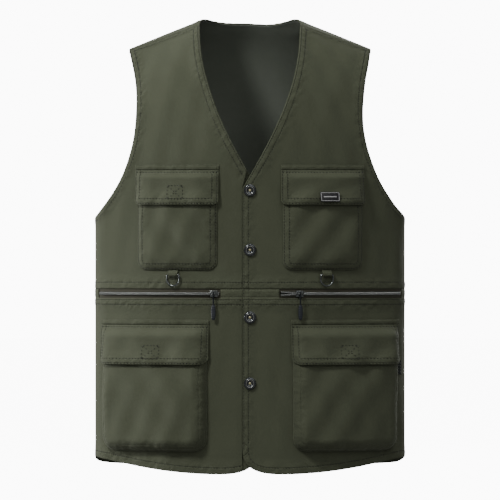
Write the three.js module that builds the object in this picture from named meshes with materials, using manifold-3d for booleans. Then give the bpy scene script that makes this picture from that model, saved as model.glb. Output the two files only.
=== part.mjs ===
// A sleeveless multi-pocket fishing vest in its worn shape, in millimetres, +Z up.
// +X is the wearer's left, the front faces -Y, and z = 0 is the high point of the shoulders at the neck.
// Cloth pieces are laid out in pattern coordinates: u runs round the torso from the centre front or back,
// and v runs down from the crest of the shoulder. The function torso() drapes them on the body shape.
import * as THREE from "three";
import Module from "manifold-3d";

const wasm = await Module();
wasm.setup();

// ---------- driving dimensions ----------
const HALF_WIDTH = 218; // side seam from the centre line
const HALF_DEPTH = 112; // centre front and centre back from the side seam plane
const SIDE_RADIUS = 50; // roundness of the torso at the side seam
const SHOULDER_FRONT = 200; // depth below the crest where the chest is at its full depth
const SHOULDER_BACK = 150;
const NECK_X = 71; // neck end of the shoulder seam
const TIP_X = 170; // arm end of the shoulder seam
const SHOULDER_SLOPE = 0.415;
const CREST_SOFTNESS = 30;
const ARMPIT_Z = -277;
const ARMHOLE_X = 159; // narrowest half-width between the armholes
const ARMHOLE_X_Z = -125;
const BACK_NECK_Z = -8;
const V_NECK_Z = -237;
const PLACKET_EDGE = -10.5; // free edge of the left front, past the centre line
const WAIST_Z = -384;
const HEM_SIDE_Z = -613;
const HEM_FRONT_Z = -636;
const HEM_BACK_Z = -622;
const HEM_CORNER = 34;

const CLOTH = 1; // shell fabric
const LINING = 0.8;
const SEAM_GAP = 0.4; // between two pieces that are sewn edge to edge
const SIDE_GAP = 1.3; // the same at the side seam, where the cloth turns its tightest
const LINING_EDGE = CLOTH + 2; // from the shell's outer face to the lining's outer face along the seams
const BACK_LINING = CLOTH + 4.5; // the same in the middle of the back
const FACING_INSET = CLOTH + 0.7;
const FACING_WIDTH = 44;
const NECK_FACING = 0.8;

const CHEST = {
  inner: 43, outer: 159, top: -204, band: 7, bottom: -351, depth: 12, mouth: 0.8,
  flap: 49, rise: 12, corner: 13, flapCorner: 7, gusset: 24,
};
const CARGO = {
  inner: 57, outer: 207, top: -420, band: 7, bottom: -604, depth: 20, mouth: 0.65,
  flap: 56, rise: 17, corner: 18, flapCorner: 11, gusset: 17,
};
const BAG_SEAT = 0.8; // from the shell's outer face to a pocket's inner face at its sewn edge
const BAG_WALL = 1.2;
const BAG_INSET = 2.5; // pocket edge inside the flap edge
const FLAP_CLOTH = 2;
const FLAP_SEAT = 0.8; // from the shell to the flap along its stitched fold
const FLAP_GAP = 1.9; // from the pocket to the flap
const PATCH = { width: 23, height: 20, thick: 0.8, gap: 0.35, above: 17 };
const BADGE = { x: 106, z: -249, width: 29, height: 14, thick: 1.4 };
const LABEL = { z: -487, height: 20, width: 9, thick: 0.6 };

const ZIP = {
  z: -384, opening: 13, inner: 43, outer: 199, tape: 24, tapeThick: 0.6, tapeInset: CLOTH + 0.6,
  coil: 5, coilThick: 1.5, neck: 1.6,
};
const ZIP_BAG = { inner: 56, outer: 190, bottom: -535, inset: CLOTH + 1.8, thick: 5.4, wall: 0.7 };
const FRONT_LINING = ZIP_BAG.inset + ZIP_BAG.thick + 1.3; // from the shell to the lining behind a zip pocket
const SLIDER = { length: 11, height: 9, wall: 0.9, right: -50, left: 69 };
const PULLER = { cord: 1, loop: 7.5, grip: 22, gripWidth: 7, gripThick: 3.6 };
const RING = { wire: 1.3, half: 9.2, drop: 15.5, z: -357.5, out: 4, x: 106 };
const WEBBING = { width: 13, thick: 0.9, gap: 0.35 };

const SNAP_Z = [-240, -323, -417, -509];
const SNAP = { cap: 8.7, capHigh: 3, post: 1.4, socket: 5.2, cavity: 3.9, stud: 2.2, base: 5 };
const STAND_INSET = 2 * CLOTH + 4.4; // from the shell's outer face to the button stand's outer face
const HOLE_CLEARANCE = 0.3;

const { lerp, clamp, smoothstep, mapLinear } = THREE.MathUtils;

// ---------- torso ----------
const FRONT = -1;
const BACK = 1;
const RUN = HALF_WIDTH - SIDE_RADIUS;
const FRONT_RADIUS =
  (RUN ** 2 + HALF_DEPTH ** 2 - SIDE_RADIUS ** 2) / (2 * (HALF_DEPTH - SIDE_RADIUS));
const ARC_CENTRE = FRONT_RADIUS - HALF_DEPTH;
const TURN = Math.asin(RUN / (FRONT_RADIUS - SIDE_RADIUS)); // where the flat arc meets the side arc
const U_TURN = FRONT_RADIUS * TURN;
const U_SIDE = U_TURN + SIDE_RADIUS * (Math.PI / 2 - TURN);

const softAbs = (x) => Math.hypot(x, CREST_SOFTNESS) - CREST_SOFTNESS;
const crest = (x) => SHOULDER_SLOPE * (softAbs(NECK_X) - softAbs(x));
const fallOf = (side) => (side === FRONT ? SHOULDER_FRONT : SHOULDER_BACK);

function uOf(x) {
  const a = Math.abs(x);
  const flat = FRONT_RADIUS * Math.sin(TURN);
  const reach = clamp((a - RUN) / SIDE_RADIUS, -1, 1);
  const u = a <= flat
    ? FRONT_RADIUS * Math.asin(a / FRONT_RADIUS)
    : U_TURN + SIDE_RADIUS * (Math.asin(reach) - TURN);
  return Math.sign(x) * u;
}

function vOf(x, z, side) {
  const fall = fallOf(side);
  const drop = crest(x) - z;
  return drop < fall
    ? fall * Math.acos(1 - Math.max(drop, 0) / fall)
    : (fall * Math.PI) / 2 + drop - fall;
}

// A pattern point from its place in front view.
const at = (x, z, side = FRONT) => new THREE.Vector2(uOf(x), vOf(x, z, side));

function drape(u, v, side) {
  const a = Math.abs(u);
  const swing = a < U_TURN ? a / FRONT_RADIUS : TURN + (a - U_TURN) / SIDE_RADIUS;
  const flat = a < U_TURN;
  const x = Math.sign(u) * (flat
    ? FRONT_RADIUS * Math.sin(swing)
    : RUN + SIDE_RADIUS * Math.sin(swing));
  const depth = flat ? FRONT_RADIUS * Math.cos(swing) - ARC_CENTRE : SIDE_RADIUS * Math.cos(swing);
  const face = v < 0 ? -side : side;
  const fall = fallOf(face);
  const w = Math.abs(v);
  const curved = w < (fall * Math.PI) / 2;
  const share = curved ? Math.sin(w / fall) : 1;
  const drop = curved ? fall * (1 - Math.cos(w / fall)) : fall + w - (fall * Math.PI) / 2;
  return new THREE.Vector3(x, face * depth * share, crest(x) - drop);
}

// The torso surface, moved out along its normal.
function torso(u, v, side, out = 0) {
  const step = 0.5;
  const du = drape(u + step, v, side).sub(drape(u - step, v, side));
  const dv = drape(u, v + step, side).sub(drape(u, v - step, side));
  const normal = du.cross(dv).normalize().multiplyScalar(side === FRONT ? -1 : 1);
  return drape(u, v, side).addScaledVector(normal, out);
}

// ---------- solids ----------
function closedGeometry(points, faces) {
  const geometry = new THREE.BufferGeometry().setFromPoints(points);
  const volume = faces.reduce((sum, [a, b, c]) =>
    sum + points[a].dot(points[b].clone().cross(points[c])), 0);
  const outward = volume < 0 ? faces.map(([a, b, c]) => [a, c, b]) : faces;
  return geometry.setIndex(outward.flat());
}

// A sheet of even thickness. surface(s, t) gives its outer face, and the cloth lies on the body side of it.
function sheet(surface, columns, rows, thick, loop = false) {
  const nu = columns.length;
  const nv = rows.length;
  const outer = rows.map((t) => columns.map((s) => surface(s, t)));
  const wrap = (i) => (loop ? (i + nu) % nu : clamp(i, 0, nu - 1));
  const normal = (i, j) => {
    const across = outer[j][wrap(i + 1)].clone().sub(outer[j][wrap(i - 1)]);
    const up = outer[Math.min(j + 1, nv - 1)][i].clone().sub(outer[Math.max(j - 1, 0)][i]);
    return across.cross(up).normalize();
  };
  const i0 = nu >> 1;
  const j0 = nv >> 1;
  const away = outer[j0][i0].clone().setZ(HALF_WIDTH);
  const inward = normal(i0, j0).dot(away) > 0 ? -thick : thick;
  const inner = outer.map((row, j) => row.map((point, i) =>
    point.clone().addScaledVector(normal(i, j), inward)));
  const points = [...outer.flat(), ...inner.flat()];
  const id = (layer, i, j) => layer * nu * nv + j * nu + wrap(i);
  const faces = [];
  const quad = (a, b, c, d) => faces.push([a, b, c], [a, c, d]);
  const cells = loop ? nu : nu - 1;
  for (let i = 0; i < cells; i++) {
    for (let j = 0; j < nv - 1; j++) {
      quad(id(0, i, j), id(0, i + 1, j), id(0, i + 1, j + 1), id(0, i, j + 1));
      quad(id(1, i, j), id(1, i, j + 1), id(1, i + 1, j + 1), id(1, i + 1, j));
    }
    quad(id(0, i + 1, 0), id(0, i, 0), id(1, i, 0), id(1, i + 1, 0));
    quad(id(0, i, nv - 1), id(0, i + 1, nv - 1), id(1, i + 1, nv - 1), id(1, i, nv - 1));
  }
  if (!loop)
    for (let j = 0; j < nv - 1; j++) {
      quad(id(0, 0, j), id(0, 0, j + 1), id(1, 0, j + 1), id(1, 0, j));
      quad(id(0, nu - 1, j + 1), id(0, nu - 1, j), id(1, nu - 1, j), id(1, nu - 1, j + 1));
    }
  return closedGeometry(points, faces);
}

const even = (count) => Array.from({ length: count + 1 }, (_, i) => i / count);
// Steps that close up towards 1, where the torso turns its tightest.
const towardsSide = (count) => even(count).map((s) => Math.sin((s * Math.PI) / 2) * 0.55 + s * 0.45);

const solidOf = (geometry) => {
  const flat = geometry.index ? geometry.toNonIndexed() : geometry;
  const position = flat.getAttribute("position");
  const mesh = new wasm.Mesh({
    numProp: 3,
    vertProperties: new Float32Array(position.array),
    triVerts: Uint32Array.from({ length: position.count }, (_, i) => i),
  });
  mesh.merge();
  return new wasm.Manifold(mesh);
};
const geometryOf = (solid) => {
  const mesh = solid.getMesh();
  const geometry = new THREE.BufferGeometry();
  geometry.setAttribute("position", new THREE.BufferAttribute(mesh.vertProperties, 3));
  return geometry.setIndex([...mesh.triVerts]);
};
const subtract = (geometry, ...cutters) =>
  geometryOf(cutters.reduce((s, c) => s.subtract(solidOf(c)), solidOf(geometry)));
const join = (geometry, ...others) =>
  geometryOf(others.reduce((s, c) => s.add(solidOf(c)), solidOf(geometry)));

// ---------- pattern edges, as curves in front view ----------
function edge(side, mirror, draw) {
  const path = new THREE.Path();
  draw(path);
  return (t) => {
    const p = path.getPoint(clamp(t, 0, 1));
    return at(mirror * p.x, p.y, side);
  };
}

// A Coons patch through four pattern edges.
// Bottom and top run from left to right, left and right from the bottom up.
function patch(bottom, top, left, right) {
  const corner = [left(0), right(0), left(1), right(1)];
  return (s, t) => new THREE.Vector2()
    .addScaledVector(left(t), 1 - s).addScaledVector(right(t), s)
    .addScaledVector(bottom(s), 1 - t).addScaledVector(top(s), t)
    .addScaledVector(corner[0], -(1 - s) * (1 - t)).addScaledVector(corner[1], -s * (1 - t))
    .addScaledVector(corner[2], -(1 - s) * t).addScaledVector(corner[3], -s * t);
}

const armhole = (path) => path
  .bezierCurveTo(ARMHOLE_X + 22, ARMPIT_Z + 42, ARMHOLE_X, ARMHOLE_X_Z - 60, ARMHOLE_X, ARMHOLE_X_Z)
  .bezierCurveTo(ARMHOLE_X, ARMHOLE_X_Z + 25, TIP_X - 7, crest(TIP_X) - 35, TIP_X, crest(TIP_X) - 4);
const ARMPIT_SHARE = 0.3;
const seamDrop = (x) => mapLinear(Math.abs(x), NECK_X, TIP_X, 8, 4);

// The outer edge of a front or back: the side seam up to the armpit, then the armhole.
// The armpit lies at t = ARMPIT_SHARE.
function sideEdge(side, mirror, from) {
  const curve = edge(side, mirror, (path) => armhole(path.moveTo(HALF_WIDTH, ARMPIT_Z)));
  return (t) => (t < ARMPIT_SHARE
    ? at(mirror * HALF_WIDTH, lerp(from, ARMPIT_Z, t / ARMPIT_SHARE), side)
    : curve((t - ARMPIT_SHARE) / (1 - ARMPIT_SHARE)));
}
const shoulderEdge = (mirror, near = NECK_X) => edge(FRONT, mirror, (path) =>
  path.moveTo(near, crest(near) - seamDrop(near)).lineTo(TIP_X, crest(TIP_X) - seamDrop(TIP_X)));
const neckline = (inset, end) => new THREE.CubicBezierCurve(
  new THREE.Vector2(PLACKET_EDGE + inset, V_NECK_Z), new THREE.Vector2(32 + inset, -165),
  new THREE.Vector2(end, -95), new THREE.Vector2(end, crest(end) - seamDrop(end)));
// The front's inner edge: straight placket, then the slanting neckline up to the shoulder seam.
const neckEdge = (mirror, from, inset, end) => edge(FRONT, mirror, (path) => {
  path.moveTo(PLACKET_EDGE + inset, from).lineTo(PLACKET_EDGE + inset, V_NECK_Z);
  path.curves.push(neckline(inset, end));
});
// The right front's inner edge stops along the left front's free edge until the two necklines cross.
const underEdge = (mirror, from, near) => edge(FRONT, mirror, (path) => {
  path.moveTo(near, from).lineTo(near, V_NECK_Z);
  const rest = neckline(0, NECK_X).getPoints(30).filter((p) => p.x > 1.2);
  for (const p of rest) path.lineTo(p.x, p.y);
});
const straight = (mirror, x, from) => edge(FRONT, mirror, (path) =>
  path.moveTo(x, from).lineTo(x, WAIST_Z - SEAM_GAP / 2));
// The round bottom corner of a front. The right front's lies under the left front,
// so only its far end is cut.
const hemCorner = new THREE.CubicBezierCurve(
  new THREE.Vector2(PLACKET_EDGE, HEM_FRONT_Z + HEM_CORNER), new THREE.Vector2(PLACKET_EDGE, HEM_FRONT_Z + 8),
  new THREE.Vector2(PLACKET_EDGE + 20, HEM_FRONT_Z), new THREE.Vector2(PLACKET_EDGE + 56, HEM_FRONT_Z));
const cornerFrom = (near) => hemCorner.getPoints(48).filter((p) => p.x > near - 0.6);
const across = (mirror, z, x0 = PLACKET_EDGE, x1 = HALF_WIDTH) => edge(FRONT, mirror, (path) =>
  path.moveTo(x0, z).lineTo(x1, z));
const hemEdge = (mirror, near) => edge(FRONT, mirror, (path) => {
  const [first, ...rest] = cornerFrom(near);
  path.moveTo(near, first.y);
  for (const p of rest) path.lineTo(p.x, p.y);
  path.bezierCurveTo(110, HEM_FRONT_Z, HALF_WIDTH - 48, HEM_SIDE_Z - 11, HALF_WIDTH, HEM_SIDE_Z);
});

const onTorso = (layout, side, out) => (s, t) => {
  const p = layout(s, t);
  return torso(p.x, p.y, side, out);
};

// ---------- materials ----------
const material = (color, roughness, metalness = 0) =>
  new THREE.MeshStandardMaterial({ color, roughness, metalness });
const shellCloth = material(0x4b4f3f, 0.85);
const liningCloth = material(0x2a2f2a, 0.6);
const darkMetal = material(0x3a3d40, 0.3, 1);
const darkPlastic = material(0x22282c, 0.45);
const hookTape = material(0x33382e, 0.95);
const patchRubber = material(0x101112, 0.5);

const vest = new THREE.Group();
function add(name, geometry, look) {
  const mesh = new THREE.Mesh(geometry, look);
  mesh.name = name;
  vest.add(mesh);
}

// ---------- small helpers ----------
const sides = [["right", -1], ["left", 1]];
// Steps along a pattern edge that close up towards its top, where the shoulder curves.
const towardsTop = (count, power = 1.55) => even(count).map((s) => 1 - (1 - s) ** power);
const sideRows = (below, above) => [
  ...even(below).slice(0, -1).map((s) => s * ARMPIT_SHARE),
  ...even(above).map((s) => lerp(s, 0.5 - 0.5 * Math.cos(Math.PI * s), 0.7))
    .map((s) => lerp(ARMPIT_SHARE, 1, s)),
];
const onFront = (mirror, x, z, out) => torso(uOf(mirror * x), vOf(x, z, FRONT), FRONT, out);
const swingOf = (x) => Math.asin(x / FRONT_RADIUS);

// Carries a piece made at the centre front round the chest to its place at x.
const round = (geometry, x) =>
  geometry.translate(0, -ARC_CENTRE, 0).rotateZ(swingOf(x)).translate(0, ARC_CENTRE, 0);

// A closed outline of [out, z] points, swept round the chest between two places.
function sweepRound(outline, x0, x1, steps) {
  const count = outline.length;
  const points = even(steps).flatMap((s) => {
    const swing = lerp(swingOf(x0), swingOf(x1), s);
    return outline.map(([out, z]) => new THREE.Vector3(
      (FRONT_RADIUS + out) * Math.sin(swing),
      ARC_CENTRE - (FRONT_RADIUS + out) * Math.cos(swing),
      z));
  });
  const caps = THREE.ShapeUtils.triangulateShape(outline.map(([x, y]) => new THREE.Vector2(x, y)), []);
  const clockwise = THREE.ShapeUtils.isClockWise(outline.map(([x, y]) => new THREE.Vector2(x, y)));
  const faces = [];
  for (let k = 0; k < steps; k++) {
    for (let i = 0; i < count; i++) {
      const a = k * count + i;
      const b = k * count + ((i + 1) % count);
      faces.push([a, b, b + count], [a, b + count, a + count]);
    }
  }
  for (const [a, b, c] of caps) {
    const last = steps * count;
    faces.push(clockwise ? [a, b, c] : [a, c, b]);
    faces.push(clockwise ? [last + a, last + c, last + b] : [last + a, last + b, last + c]);
  }
  return closedGeometry(points, faces);
}

// A round piece lying at right angles to the centre front, from a lathe profile of [radius, out] points.
function turning(profile, z, sides) {
  const lathe = new THREE.LatheGeometry(profile.map(([r, out]) => new THREE.Vector2(r, out)), sides);
  return lathe.rotateX(Math.PI).translate(0, -HALF_DEPTH, z);
}
const snapHoles = (heights, from, to) => heights.map((z) => {
  const radius = SNAP.post + HOLE_CLEARANCE;
  return turning([[0, from], [radius, from], [radius, to], [0, to]], z, 10);
});

// ---------- shell, lining and facings ----------
const above = (z) => z > WAIST_Z;
const halfGap = SEAM_GAP / 2;

function zipSlot(mirror) {
  return sheet((s, t) => onFront(mirror, lerp(ZIP.inner, ZIP.outer, s),
    ZIP.z + lerp(-0.5, 0.5, t) * ZIP.opening, 3), even(12), [0, 1], 7);
}

function frontPanels(name, mirror) {
  const over = mirror > 0;
  // The right front stops short of the left front's free edge, and its button stand carries on under it.
  const near = over ? PLACKET_EDGE : -PLACKET_EDGE + 0.8;
  const holes = (test) => (over ? snapHoles(SNAP_Z.filter(test), -5, 5) : []);
  const upper = patch(
    across(mirror, WAIST_Z + halfGap, near), shoulderEdge(mirror),
    over ? neckEdge(mirror, WAIST_Z + halfGap, 0, NECK_X) : underEdge(mirror, WAIST_Z + halfGap, near),
    sideEdge(FRONT, mirror, WAIST_Z + halfGap));
  const lower = patch(
    hemEdge(mirror, near), across(mirror, WAIST_Z - halfGap, near),
    straight(mirror, near, cornerFrom(near)[0].y), straight(mirror, HALF_WIDTH, HEM_SIDE_Z));
  const columns = towardsSide(12);
  const hemColumns = over ? [0, 0.03, 0.06, 0.09, ...columns.slice(1)] : columns;
  add(`${name}_front_upper`, subtract(
    sheet(onTorso(upper, FRONT, 0), columns, sideRows(2, 13), CLOTH),
    zipSlot(mirror), ...holes(above)), shellCloth);
  add(`${name}_front_lower`, subtract(
    sheet(onTorso(lower, FRONT, 0), hemColumns, even(2), CLOTH),
    zipSlot(mirror), ...holes((z) => !above(z))), shellCloth);
}

function frontLining(name, mirror) {
  const from = HEM_SIDE_Z + 12;
  const inset = FACING_WIDTH + SIDE_GAP;
  const layout = patch(
    across(mirror, from, PLACKET_EDGE + inset), shoulderEdge(mirror, NECK_X + inset * 0.6),
    neckEdge(mirror, from, inset, NECK_X + inset * 0.6), sideEdge(FRONT, mirror, from));
  // The lining gives way to the zip pocket from side to side of it, and upwards fades back to the shell.
  const inner = uOf(PLACKET_EDGE + inset);
  const aside = (u) => smoothstep(u, inner, uOf(ZIP_BAG.inner) - 4)
    * smoothstep(U_SIDE - u, 0, U_SIDE - uOf(ZIP_BAG.outer) - 4);
  const surface = (s, t) => {
    const p = layout(s, t);
    const room = aside(Math.abs(p.x)) * smoothstep(t, 0, 0.03) * smoothstep(1 - t, 0.1, 0.4);
    return torso(p.x, p.y, FRONT, -lerp(LINING_EDGE, FRONT_LINING, room));
  };
  const columns = [0, 0.04, ...towardsSide(10).slice(1)];
  const rows = [0, 0.03, ...sideRows(3, 13).slice(1)];
  add(`${name}_front_lining`, sheet(surface, columns, rows, LINING), liningCloth);
}

// The strip behind the front edge and the neckline. On the right front it is also the button stand.
function frontFacing(name, mirror) {
  const over = mirror > 0;
  const low = HEM_FRONT_Z + HEM_CORNER;
  const outer = neckEdge(mirror, low, 0, NECK_X);
  const inner = neckEdge(mirror, low, FACING_WIDTH, NECK_X + FACING_WIDTH * 0.6);
  const under = (x) => (over ? 0 : smoothstep(x, -uOf(FACING_WIDTH + PLACKET_EDGE), PLACKET_EDGE - 2.5));
  const surface = (s, t) => {
    const p = outer(t).lerp(inner(t), s);
    return torso(p.x, p.y, FRONT, -lerp(FACING_INSET, STAND_INSET, under(p.x)));
  };
  const columns = over ? even(3) : [0, 0.25, 0.5, 0.62, 0.75, 0.88, 1];
  const strip = sheet(surface, columns, towardsTop(22), CLOTH * 0.8);
  add(name, subtract(strip, ...snapHoles(SNAP_Z, -STAND_INSET - 4, 2)), shellCloth);
}

function backLayout() {
  // Past the crest the back laps over onto the front, down to the shoulder seam.
  const overTop = (x) => -vOf(x, crest(x) - seamDrop(x) + SEAM_GAP, FRONT);
  const share = 0.94;
  const sideOf = (mirror) => {
    const low = sideEdge(BACK, mirror, HEM_SIDE_Z);
    return (t) => (t < share
      ? low(t / share)
      : new THREE.Vector2(low(1).x, mapLinear(t, share, 1, low(1).y, overTop(TIP_X))));
  };
  const seam = (s) => {
    const x = lerp(-TIP_X, TIP_X, s);
    return new THREE.Vector2(uOf(x), overTop(Math.max(Math.abs(x), NECK_X)));
  };
  // The back neckline dips below the line of the shoulder seams. The dip fades out quickly below it.
  const dip = (s, t) => {
    const bare = 1 - Math.min(Math.abs(2 * s - 1) * (TIP_X / NECK_X), 1) ** 2;
    return Math.sqrt(bare) * (vOf(0, BACK_NECK_Z, BACK) - overTop(NECK_X)) * t ** 8;
  };
  const hem = (s) => {
    const c = 2 * s - 1;
    const z = lerp(HEM_BACK_Z, HEM_SIDE_Z, c * c);
    return new THREE.Vector2(c * U_SIDE, vOf(HALF_WIDTH * c, z, BACK));
  };
  const plain = patch(hem, seam, sideOf(-1), sideOf(1));
  return (s, t) => plain(s, t).add(new THREE.Vector2(0, dip(s, t)));
}

function back() {
  const clear = (u) => Math.sign(u) * Math.min(Math.abs(u), U_SIDE - SIDE_GAP);
  const layout = backLayout();
  const surface = (depth) => (s, t) => {
    const p = layout(s, t);
    return torso(clear(p.x), p.y, BACK, -depth(s, t));
  };
  // Closer steps where the neckline turns up to the shoulder, and round the side.
  const corner = NECK_X / TIP_X;
  const half = [0, 0.42, 0.74, 0.9, 0.97, 1].map((s) => s * corner)
    .concat([0.2, 0.42, 0.62, 0.76, 0.85, 0.93, 1].map((s) => lerp(corner, 1, s)));
  const columns = [...half.slice(1).reverse().map((c) => (1 - c) / 2), ...half.map((c) => (1 + c) / 2)];
  const rows = [...sideRows(3, 9).map((t) => t * 0.94), 0.955, 0.97, 0.985, 1];
  const lined = (s, t) => lerp(LINING_EDGE, BACK_LINING,
    smoothstep(Math.min(s, 1 - s), 0, 0.1) * smoothstep(t, 0, 0.1));
  add("back_panel", sheet(surface(() => 0), columns, rows, CLOTH), shellCloth);
  const linedRows = [0.02, ...rows.slice(1, -2)];
  add("back_lining", sheet(surface(lined), columns, linedRows, LINING), liningCloth);
  const neckColumns = columns.filter((s) => Math.abs(2 * s - 1) < corner);
  add("back_neck_facing", sheet(surface(() => FACING_INSET), neckColumns, rows.slice(-2), NECK_FACING),
    shellCloth);
}

// ---------- pockets and flaps ----------
const hingeZ = (p) => p.top - p.band;
const mouthZ = (p) => hingeZ(p) - p.rise;
const flapZ = (p) => hingeZ(p) - p.flap;
const middle = (p) => (p.inner + p.outer) / 2;
const pillow = (k) => 1 - (1 - clamp(k, 0, 1)) ** 2;
// Height of a rounded corner above the straight bottom edge, at a distance in from the side.
const corner = (radius, d) => radius - Math.sqrt(radius ** 2 - Math.max(radius - Math.max(d, 0), 0) ** 2);
const fromSide = (p, x, inset) => Math.min(x - p.inner, p.outer - x) - inset;
const bagEnd = (p, x) => p.bottom + corner(p.corner, fromSide(p, x, BAG_INSET));

// How far a pocket's outer face stands off the shell.
function bulge(p, x, z) {
  const rest = BAG_SEAT + BAG_WALL;
  const side = pillow(fromSide(p, x, BAG_INSET) / p.gusset);
  const low = pillow((z - bagEnd(p, x)) / p.gusset);
  const full = lerp(p.mouth, 1, smoothstep(mouthZ(p) - z, 0, (mouthZ(p) - p.bottom) * 0.5));
  return rest + (p.depth - rest) * side * low * full;
}
// How far a flap's outer face stands off the shell.
function cover(p, x, z) {
  const patchRoom = 2 * (PATCH.thick + PATCH.gap) + PATCH.gap - FLAP_GAP;
  const near = 1 - smoothstep(Math.abs(x - middle(p)), PATCH.width / 2 + 2, PATCH.width / 2 + 22);
  const lifted = bulge(p, x, Math.min(z, mouthZ(p))) + FLAP_GAP + FLAP_CLOTH + patchRoom * near;
  return lerp(FLAP_CLOTH + FLAP_SEAT, lifted, smoothstep(hingeZ(p) - z, 0, p.rise));
}
const bagColumns = (p) => {
  const width = p.outer - p.inner - 2 * BAG_INSET;
  const ends = [0, 2, 5, 10, 19].map((d) => d / width);
  return [...ends, 0.5 - 12 / width, 0.5, 0.5 + 12 / width, ...ends.map((s) => 1 - s).reverse()];
};

function pocket(name, p, mirror) {
  const x = (s) => lerp(p.inner + BAG_INSET, p.outer - BAG_INSET, s);
  const columns = bagColumns(p);
  const rows = [0, 0.03, 0.09, 0.2, 0.45, 0.75, 0.88, 1];
  add(`${name}_pocket`, sheet((s, t) => {
    const z = lerp(bagEnd(p, x(s)), mouthZ(p), t);
    return onFront(mirror, x(s), z, bulge(p, x(s), z));
  }, columns, rows, BAG_WALL), shellCloth);

  add(`${name}_flap_seam`, sheet((s, t) => onFront(mirror, lerp(p.inner, p.outer, s),
    lerp(hingeZ(p) + 0.4, p.top, t), FLAP_CLOTH + FLAP_SEAT), even(10), [0, 1], FLAP_CLOTH), shellCloth);

  const inset = BAG_INSET / (p.outer - p.inner);
  const flapColumns = [0, ...columns.map((s) => lerp(inset, 1 - inset, s)), 1];
  const flapX = (s) => lerp(p.inner, p.outer, s);
  const end = (s) => flapZ(p) + corner(p.flapCorner, fromSide(p, flapX(s), 0));
  const up = p.rise / p.flap;
  const flapRows = [0, 0.22, 0.46, 1 - up, 1 - up * 0.66, 1 - up * 0.33, 1];
  add(`${name}_flap`, sheet((s, t) => {
    const z = lerp(end(s), hingeZ(p), t);
    return onFront(mirror, flapX(s), z, cover(p, flapX(s), z));
  }, flapColumns, flapRows, FLAP_CLOTH), shellCloth);

  const fastener = (suffix, out) => add(`${name}_${suffix}`, sheet((s, t) => {
    const px = middle(p) + (s - 0.5) * PATCH.width;
    const pz = flapZ(p) + PATCH.above + (t - 0.5) * PATCH.height;
    return onFront(mirror, px, pz, out(px, pz));
  }, even(2), even(3), PATCH.thick), hookTape);
  fastener("hook", (x0, z0) => cover(p, x0, z0) - FLAP_CLOTH - PATCH.gap);
  fastener("loop", (x0, z0) => bulge(p, x0, z0) + PATCH.gap + PATCH.thick);
}

function badge() {
  const { x, z, width, height, thick } = BADGE;
  const out = (px, pz) => cover(CHEST, px, pz);
  const a = onFront(1, x, z - height / 2, out(x, z - height / 2));
  const b = onFront(1, x, z + height / 2, out(x, z + height / 2));
  const tangent = new THREE.Vector3(Math.cos(swingOf(x)), Math.sin(swingOf(x)), 0);
  const normal = tangent.clone().cross(b.clone().sub(a)).normalize();
  const upward = normal.clone().cross(tangent);
  const frame = new THREE.Matrix4().makeBasis(tangent, upward, normal);
  const place = onFront(1, x, z, out(x, z)).addScaledVector(normal, thick / 2 + 0.45);
  const plate = new THREE.BoxGeometry(width, height, thick).applyMatrix4(frame.setPosition(place));
  add("badge", plate, patchRubber);
}

function label() {
  const start = uOf(CARGO.outer - BAG_INSET) + 0.4;
  add("side_label", sheet((s, t) => {
    const z = LABEL.z + (t - 0.5) * LABEL.height;
    return torso(start + s * LABEL.width, vOf(CARGO.outer, z, FRONT), FRONT, LABEL.thick + 0.5);
  }, even(3), [0, 1], LABEL.thick), hookTape);
}

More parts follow.
